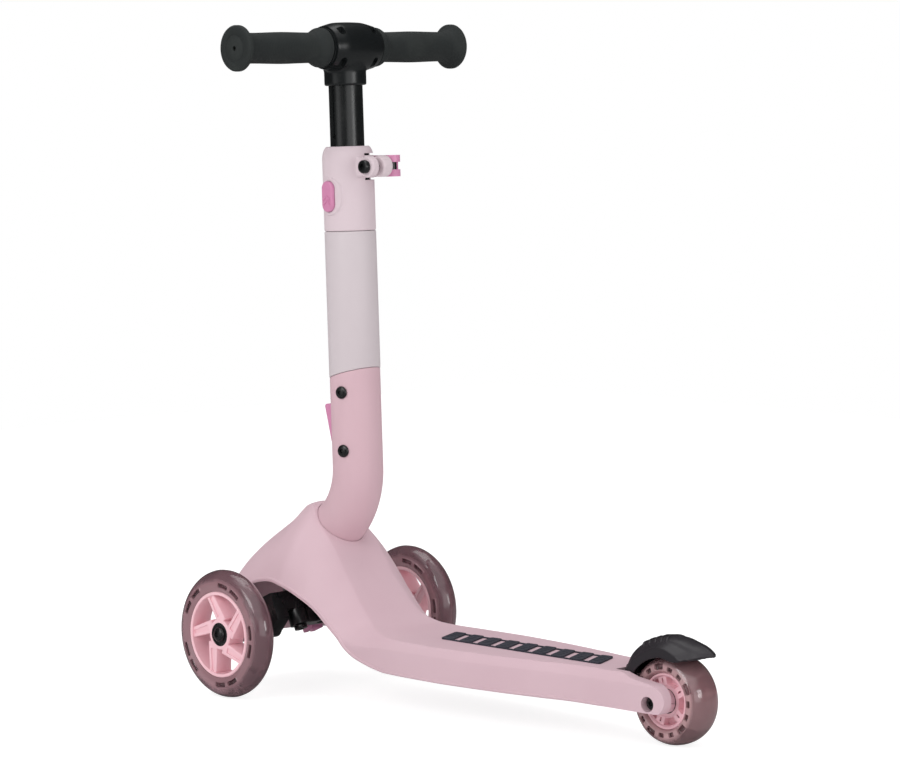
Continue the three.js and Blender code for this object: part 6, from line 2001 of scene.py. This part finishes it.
@dataclass
class RearWheel(Wheel):
    """The wide rear wheel: slotted rim, smoky tyre with pockets and tabs, bearings and axle screws."""

    radius: float = 40
    tyre_half: float = 17.6
    rim_radius: float = 24.8
    hub_half: float = 12.1
    rim_half: float = 12.1
    lip_half: float = 14.4
    barrel_wall: float = 2.4
    hub_radius: float = 13.4
    spoke_half: float = 3.6
    spoke_phase: float = 76
    window_depth: float = 6.5
    slot_half: float = 0.9
    slot_depth: float = 4
    tab_angle: float = 81
    pocket_depth: float = 3.4
    screw_radius: float = 5.7
    screw_head: float = 4.0
    screw_shank: float = 2.3
    screw_length: float = 10
    tyre_widths: tuple = (
        (0, 0.82), (0.08, 0.94), (0.16, 0.99), (0.3, 1), (0.45, 0.99), (0.6, 0.93), (0.75, 0.82),
        (0.87, 0.62), (0.94, 0.44), (0.985, 0.22), (1, 0),
    )
    pockets: tuple = ((25, 5.8, 2.9, 7.0), (48, 5.8, 2.9, 7.0), (0, 9.5, 3.2, 8.6))

    def _rim(self) -> Solid:
        """The rim with a recess between each two spokes and a slot in each spoke."""
        outer, inner, half = self.rim_radius, self.rim_radius - self.barrel_wall, self.rim_half
        hub, face, lip = self.hub_radius, half + 0.5, self.lip_half
        profile = [(self.hub_bore, -half), (hub, -half), (hub + 0.8, -face), (inner - 0.8, -face),
                   (inner, -lip + 0.5), (inner + 0.6, -lip), (outer - 0.6, -lip), (outer, -lip + 0.6)]
        rim = Solid.turned(mirrored(profile), 112)
        low, high = hub + 1.4, inner - 1.0
        start, end = self.spoke_phase, self.spoke_phase + 360 / self.spoke_count
        gap_low, gap_high = (math.degrees(self.spoke_half * 1.3 / r) for r in (low, high))
        window = arc((0, 0), high, start + gap_high, end - gap_high, 14)
        window += arc((0, 0), low, end - gap_low, start + gap_low, 8)
        for side, _ in SIDES:
            cutter = sided(window, side, half - self.window_depth, half + 5).bevel(1.2, 3, 50)
            rim.cut(self._round(cutter, RIM_PINK))
        c, s = math.cos(math.radians(start)), math.sin(math.radians(start))
        centre = (low + high) / 2
        line = stadium(self.slot_half, (high - low) / 2 - 1.2, 6)
        slot = [(y * -s + (z + centre) * c, y * c + (z + centre) * s) for y, z in line]
        for side, _ in SIDES:
            rim.cut(self._round(sided(slot, side, half - self.slot_depth, half + 3), RIM_PINK))
            rim.cut(self._bearing_seat(side))
        return rim

    def _tyre(self) -> Solid:
        """The tyre with small pockets and wide tabs round its inner ring."""
        tyre = self._tyre_form(self.tyre_widths, 1.7, 28, 128)
        for face, _ in SIDES:
            for offset, wide, low, high in self.pockets:
                inner, outer = self.rim_radius + low, self.rim_radius + high
                outline = sector(inner, outer, self.tab_angle + offset, wide, 8)
                pocket = sided(outline, face, self.tyre_half - self.pocket_depth, self.tyre_half + 4)
                tyre.cut(self._round(pocket.bevel(1.2, 3, 50), REAR_SMOKE))
        return tyre

    def _axle_screw(self) -> Solid:
        """The screw in the right end of the axle."""
        face = LAYOUT.recess_floor + LAYOUT.clearance
        r, top = self.screw_radius, face + self.screw_head
        shank, end = self.screw_shank, face - self.screw_length
        profile = [(0, top), (r - 1.2, top), (r - 0.3, top - 0.5), (r, top - 1.3), (r, face), (shank, face),
                   (shank, end), (0, end)]
        screw = Solid.turned(profile, 48)
        return screw.cut(hexagon(r * 0.5, top - self.screw_head / 2, top + 2))

    def build(self) -> None:
        """Drafts the wheel's pieces and hands them to the scene."""
        place = LAYOUT.rear_frame()
        show(self._rim().moved(place), "rear_slotted_rim", RIM_PINK, ["rear_wheel_rim"])
        show(self._tyre().moved(place), "rear_smoky_tyre", REAR_SMOKE, ["rear_wheel_tyre"], 40)
        for side, word in SIDES:
            race = self._bearing(side).moved(place)
            show(race, f"rear_{word}_race", BLACK_STEEL, [f"rear_wheel_bearing_{word}"])
            screw = self._axle_screw().on_side(side).moved(place)
            show(screw, f"axle_screw_{word}", BLACK_STEEL, [f"rear_axle_screw_{word}"])


@dataclass
class FootBrake(Assembly):
    """The dark fender that is pressed onto the rear wheel, with grip ridges on its crown."""

    half_width: float = 22.4
    skin: float = 2.8
    crown_drop: float = 7.5
    pad_rise: float = 1.2
    pad_edge: Flat = (0.5, 0.62)
    pin_forward: float = 46
    pin_rise: float = 13
    pin_radius: float = 2.5
    boss_radius: float = 4.4
    lug_inner: float = 6.5
    lug_outer: float = 15.5
    lug_depth: float = 7
    crown_rise: float = 55.2
    reach_front: float = 49.4
    front_setback: float = 19
    ridge_count: int = 5
    ridge_half: float = 13
    ridge_bow: float = 5
    ridge_radius: float = 1.6
    ridge_span: Flat = (0.64, 0.08)
    ridge_sink: Flat = (0.35, 0.9)
    skin_face: float = 0.8
    skin_passes: int = 2
    front_shares: tuple = ((0.99, 0.3), (1, 0.4), (0.98, 0.53), (0.93, 0.65), (0.81, 0.755), (0.65, 0.85),
                           (0.46, 0.92), (0.24, 0.975))
    rear_shares: tuple = ((0, 1), (0.26, 0.985), (0.52, 0.935), (0.78, 0.885), (1, 0.79))
    skirt_shares: tuple = ((1, 0.73), (0.85, 0.675), (0.6, 0.655), (0.3, 0.685), (0.05, 0.705), (-0.1, 0.7),
                           (-0.37, 0.645), (-0.58, 0.55), (-0.72, 0.42), (-0.79, 0.3))
    strip_shares: tuple = (
        (0, 0, 0, 1), (0.3, 0.1, 0.09, 0.9), (0.6, 0.42, 0.36, 0.76), (0.9, 0.85, 0.81, 0.6), (1, 1, 1, 0.55),
    )

    def _strip(self, across: float) -> tuple[float, float, float]:
        """Drop, setback and tail share of a strip at a share of the half width."""
        table = np.array(self.strip_shares).T
        return tuple(float(eased(table[0], row, np.array([across]))[0]) for row in table[1:])

    def _line(self, across: float, inset: float = 0) -> list[Flat]:
        """The fender's outer line seen from the side along one strip.

        Args:
            across: Where the strip is, as a share of the half width.
            inset: How far the line is drawn in.

        Returns:
            Points of (y, z) from the front to the tail.
        """
        drop, setback, tail = self._strip(across)
        rise = self.crown_rise - inset - self.crown_drop * drop
        if inset == 0:
            rise += self.pad_rise * float(np.interp(across, self.pad_edge, (1, 0)))
        line = []
        for along, up in self.front_shares:
            line.append((along * (self.reach_front - self.front_setback * setback * up - inset), up * rise))
        return line + [(-back * LAYOUT.tail_reach * tail, up * rise) for back, up in self.rear_shares]

    def _outline(self, across: float) -> np.ndarray:
        """One strip of the fender as a closed outline down to the skirt's edge.

        Args:
            across: Where the strip is, as a share of the half width.

        Returns:
            Points of (y, z).
        """
        _, setback, tail = self._strip(across)
        skirt = []
        for back, up in self.skirt_shares:
            forward = -back * (self.reach_front - self.front_setback * setback * up)
            skirt.append((-back * LAYOUT.tail_reach * tail if back > 0 else forward, up * self.crown_rise))
        return softened(np.array(self._line(across) + skirt), 1, True)

    def _room(self, across: float) -> np.ndarray:
        """The space under one strip.

        Args:
            across: Where the strip is, as a share of the half width.

        Returns:
            Points of (y, z).
        """
        drop, setback, _ = self._strip(across)
        along, up = self.front_shares[0]
        back = -LAYOUT.tail_reach - 5
        top = (self.crown_rise - self.skin - self.crown_drop * drop) * self.rear_shares[-1][1]
        front = (self.reach_front - self.front_setback * setback * up - self.skin) * along
        return np.array(self._line(across, self.skin) + [(back, top), (back, 0), (front, 0)])

    def _loft(self, outline: Callable[[float], np.ndarray], half_width: float) -> Solid:
        """A loft through strips from one side to the other.

        Args:
            outline: Gives a strip's outline at a share of the half width.
            half_width: Half the width of the loft.

        Returns:
            The loft.
        """
        places = np.sin(np.linspace(-math.pi / 2, math.pi / 2, 65))
        return Solid.from_rings([[(x * half_width, y, z) for y, z in outline(abs(float(x)))] for x in places])

    def _ridges(self) -> Solid:
        """The transverse grip ridges on the front of the crown, which follow its skin."""
        ridges = Solid([], [])
        sunk, deeper = self.ridge_sink
        for share in np.linspace(*self.ridge_span, self.ridge_count):
            path = []
            for x in np.linspace(-self.ridge_half, self.ridge_half, 25):
                line = np.array(self._line(abs(x) / self.half_width))
                y = share * self.reach_front - self.ridge_bow * (x / self.ridge_half) ** 2
                sink = self.ridge_radius * (sunk + deeper * abs(x / self.ridge_half) ** 6)
                path.append((x, y, float(np.interp(-y, -line[:, 0], line[:, 1])) - sink))
            ridges.beside(Solid.tube(np.array(path), self.ridge_radius))
        return ridges

    def _fender(self) -> Solid:
        """The fender with its lugs, ridges and the dimple in its crown."""
        fender = self._loft(self._outline, self.half_width)
        fender.cut(self._loft(self._room, self.half_width - self.skin))
        fender.blended(self.skin_face, self.skin_passes)
        top = self.crown_rise * 0.5
        front = self.reach_front - self.front_setback / 4
        pin = (self.pin_forward, self.pin_rise)
        lug = arc(pin, self.boss_radius, 180, 360, 16) + [(front, top), (front - self.lug_depth, top)]
        for side, _ in SIDES:
            fender.add(sided(lug, side, self.lug_inner, self.lug_outer).bevel(0.5, 2, 50))
        fender.cut(rod(self.pin_radius + LAYOUT.clearance, -40, 40, 32, pin))
        dimple = Solid.turned([(0, -0.7), (3.0, -0.7), (3.8, -0.2), (4.2, 2), (0, 2)], 40, Axis.Z)
        fender.cut(dimple.moved(shift(0, -6, self.crown_rise + self.pad_rise - 0.3)))
        return fender.beside(self._ridges())

    def build(self) -> None:
        """Drafts the fender and hands it to the scene."""
        show(self._fender().moved(LAYOUT.rear_frame()), "ridged_fender", FENDER_GREY, ["fender_brake"], 40)


@dataclass
class FinePieces(Assembly):
    """Pieces whose packed form is right: some copied with rounded edges, the others dressed as they are."""

    edge: float = 0.45
    rounded: tuple = (
        (BLACK_PLASTIC, ("front_beam", "knuckle_left", "knuckle_right", "tie_rod")),
        (MAGENTA, ("steering_lock",)),
        (BLACK_STEEL, ("kingpin_left", "kingpin_right")),
        (TREAD_RUBBER, ("brake_pad",)),
        (STEEL, ("tie_rod_pin_left", "tie_rod_pin_right")),
        (BLACK_STEEL, ("beam_screw_left", "beam_screw_right")),
    )
    carried: tuple = (
        (BLACK_STEEL, ("neck_foot_bolt", "handle_bar")),
        (BLACK_PLASTIC, ("neck_sleeve", "collar_liner")),
        (STEEL, ("stem_spigot", "stem_release_spring", "height_button_spring", "centring_spring_left",
                 "centring_spring_right", "rear_axle", "brake_pin", "brake_spring")),
    )

    def build(self) -> None:
        """Rounds and dresses the pieces."""
        for finish, nodes in self.rounded:
            for node in nodes:
                show(Solid.copy_of(node).bevel(self.edge, 2, 28), f"{node}_skin", finish, [node])
        for finish, nodes in self.carried:
            for node in nodes:
                piece = frame["nodes"][node]
                for slot in piece.material_slots:
                    slot.material = finish.material()
                log.info("%s: dressed", node)


@dataclass
class Studio:
    """Pale floor, soft lamps, white surroundings and the camera of the photograph."""

    eye: tuple = (-2.41689, -2.47305, 0.62012)
    azimuth: float = -43.933
    elevation: float = 5.276
    roll: float = -0.265
    lens: float = 152.41
    sensor: float = 36
    floor_size: float = 4.6
    key_power: float = 30
    fill_power: float = 14
    top_power: float = 18
    surround: float = 0.66
    gloss_surround: float = 0.05
    gloss_floor: float = 0.35
    softboxes: tuple = (((-0.29, -0.95, 0.02), (0.86, 0.96), 1.5), ((-0.35, -0.35, 0.87), (0.62, 0.9), 1.1),
                        ((-0.98, 0.15, 0.1), (0.93, 0.985), 1.2))
    floor_glow: float = 1.4
    floor_share: float = 0.6

    def _camera(self) -> None:
        """Puts the camera where the photograph was taken."""
        a, e, r = (math.radians(v) for v in (self.azimuth, self.elevation, self.roll))
        back = Vector((math.sin(a) * math.cos(e), -math.cos(a) * math.cos(e), math.sin(e)))
        right = (-back).cross(Vector((0, 0, 1))).normalized()
        up = right.cross(-back)
        across = right * math.cos(r) + up * math.sin(r)
        upward = up * math.cos(r) - right * math.sin(r)
        data = bpy.data.cameras.new("camera")
        data.lens = self.lens
        data.sensor_width = self.sensor
        data.sensor_fit = "HORIZONTAL"
        data.clip_end = 50
        camera = linked("camera", data)
        turn = Matrix((across, upward, back)).transposed().to_4x4()
        camera.matrix_world = Matrix.Translation(self.eye) @ turn
        bpy.context.scene.camera = camera

    def _lamp(self, name: str, place: tuple, aim: tuple, size: float, power: float) -> None:
        """Hangs a soft square lamp that looks at a point.

        Args:
            name: The lamp's name.
            place: Where it hangs.
            aim: What it looks at.
            size: Its side.
            power: Its power.
        """
        data = bpy.data.lights.new(name, "AREA")
        data.size = size
        data.energy = power
        look = (Vector(aim) - Vector(place)).to_track_quat("-Z", "Y")
        linked(name, data).matrix_world = Matrix.Translation(place) @ look.to_matrix().to_4x4()

    def _floor(self) -> None:
        """Lays the pale floor, which looks white but keeps the shadow."""
        half = self.floor_size / 2
        corners = [(-half, -half, 0), (half, -half, 0), (half, half, 0), (-half, half, 0)]
        mesh = bpy.data.meshes.new("floor")
        mesh.from_pydata(corners, [], [(0, 1, 2, 3)])
        material = bpy.data.materials.new("floor_paper")
        sheet = NodeSheet.cleared(material)
        glow = sheet.put("ShaderNodeEmission", values={"Color": (1, 1, 1, 1), "Strength": self.floor_glow})
        seen = sheet.put("ShaderNodeLightPath", output="Is Camera Ray")
        glossy = sheet.put("ShaderNodeLightPath", output="Is Glossy Ray")
        shade = sheet.blend(glossy * (1 - self.gloss_floor), tint(246, 246, 246), (0, 0, 0, 1))
        paper = sheet.put("ShaderNodeBsdfDiffuse", values={"Color": shade})
        mixed = sheet.put("ShaderNodeMixShader", values={0: seen * self.floor_share, 1: paper, 2: glow})
        sheet.finish_with("ShaderNodeOutputMaterial", mixed)
        mesh.materials.append(material)
        floor = linked("floor", mesh)

    def _world(self) -> None:
        """Gives the surroundings a soft light and a white look."""
        world = bpy.data.worlds.new("white_room")
        bpy.context.scene.world = world
        sheet = NodeSheet.cleared(world)
        names = ("Is Camera Ray", "Is Transmission Ray", "Is Glossy Ray")
        camera, through, glossy = (sheet.put("ShaderNodeLightPath", output=name) for name in names)
        bright = sheet.maths("MAXIMUM", camera, through)
        incoming = sheet.put("ShaderNodeNewGeometry", output="Incoming")
        boxes = self.gloss_surround
        for aim, edge, power in self.softboxes:
            values = {0: incoming, 1: tuple(-part for part in aim)}
            facing = sheet.put("ShaderNodeVectorMath", {"operation": "DOT_PRODUCT"}, values, "Value")
            boxes = facing.within(*edge) * power + boxes
        gloss = glossy * (1 - bright)
        strength = self.surround + bright * (1 - self.surround) + gloss * (boxes - self.surround)
        glow = sheet.put("ShaderNodeBackground", values={"Color": (1, 1, 1, 1), "Strength": strength})
        sheet.finish_with("ShaderNodeOutputWorld", glow)

    def build(self) -> None:
        """Sets up the studio."""
        bpy.context.scene.view_settings.view_transform = "Standard"
        self._camera()
        self._floor()
        self._world()
        self._lamp("key", (-2.6, -0.2, 1.9), (0, 0, 0.25), 1.6, self.key_power)
        self._lamp("fill", (0.4, -3.0, 0.9), (0, 0, 0.3), 0.9, self.fill_power)
        self._lamp("top", (0.3, 0.6, 2.8), (0, 0, 0.2), 1.8, self.top_power)


def main() -> None:
    """Builds the scooter and its studio."""
    logging.basicConfig(level=logging.INFO, format="%(name)s %(message)s")
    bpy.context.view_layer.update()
    Studio().build()
    assemblies: list[Assembly] = [
        DeckAndHood(),
        TreadStrip(),
        Neck(),
        Stem(),
        Handlebar(),
        *(FrontWheel(side=side, word=word) for side, word in SIDES),
        RearWheel(),
        FootBrake(),
        FinePieces(),
    ]
    for assembly in assemblies:
        assembly.build()


if __name__ == "__main__":
    main()
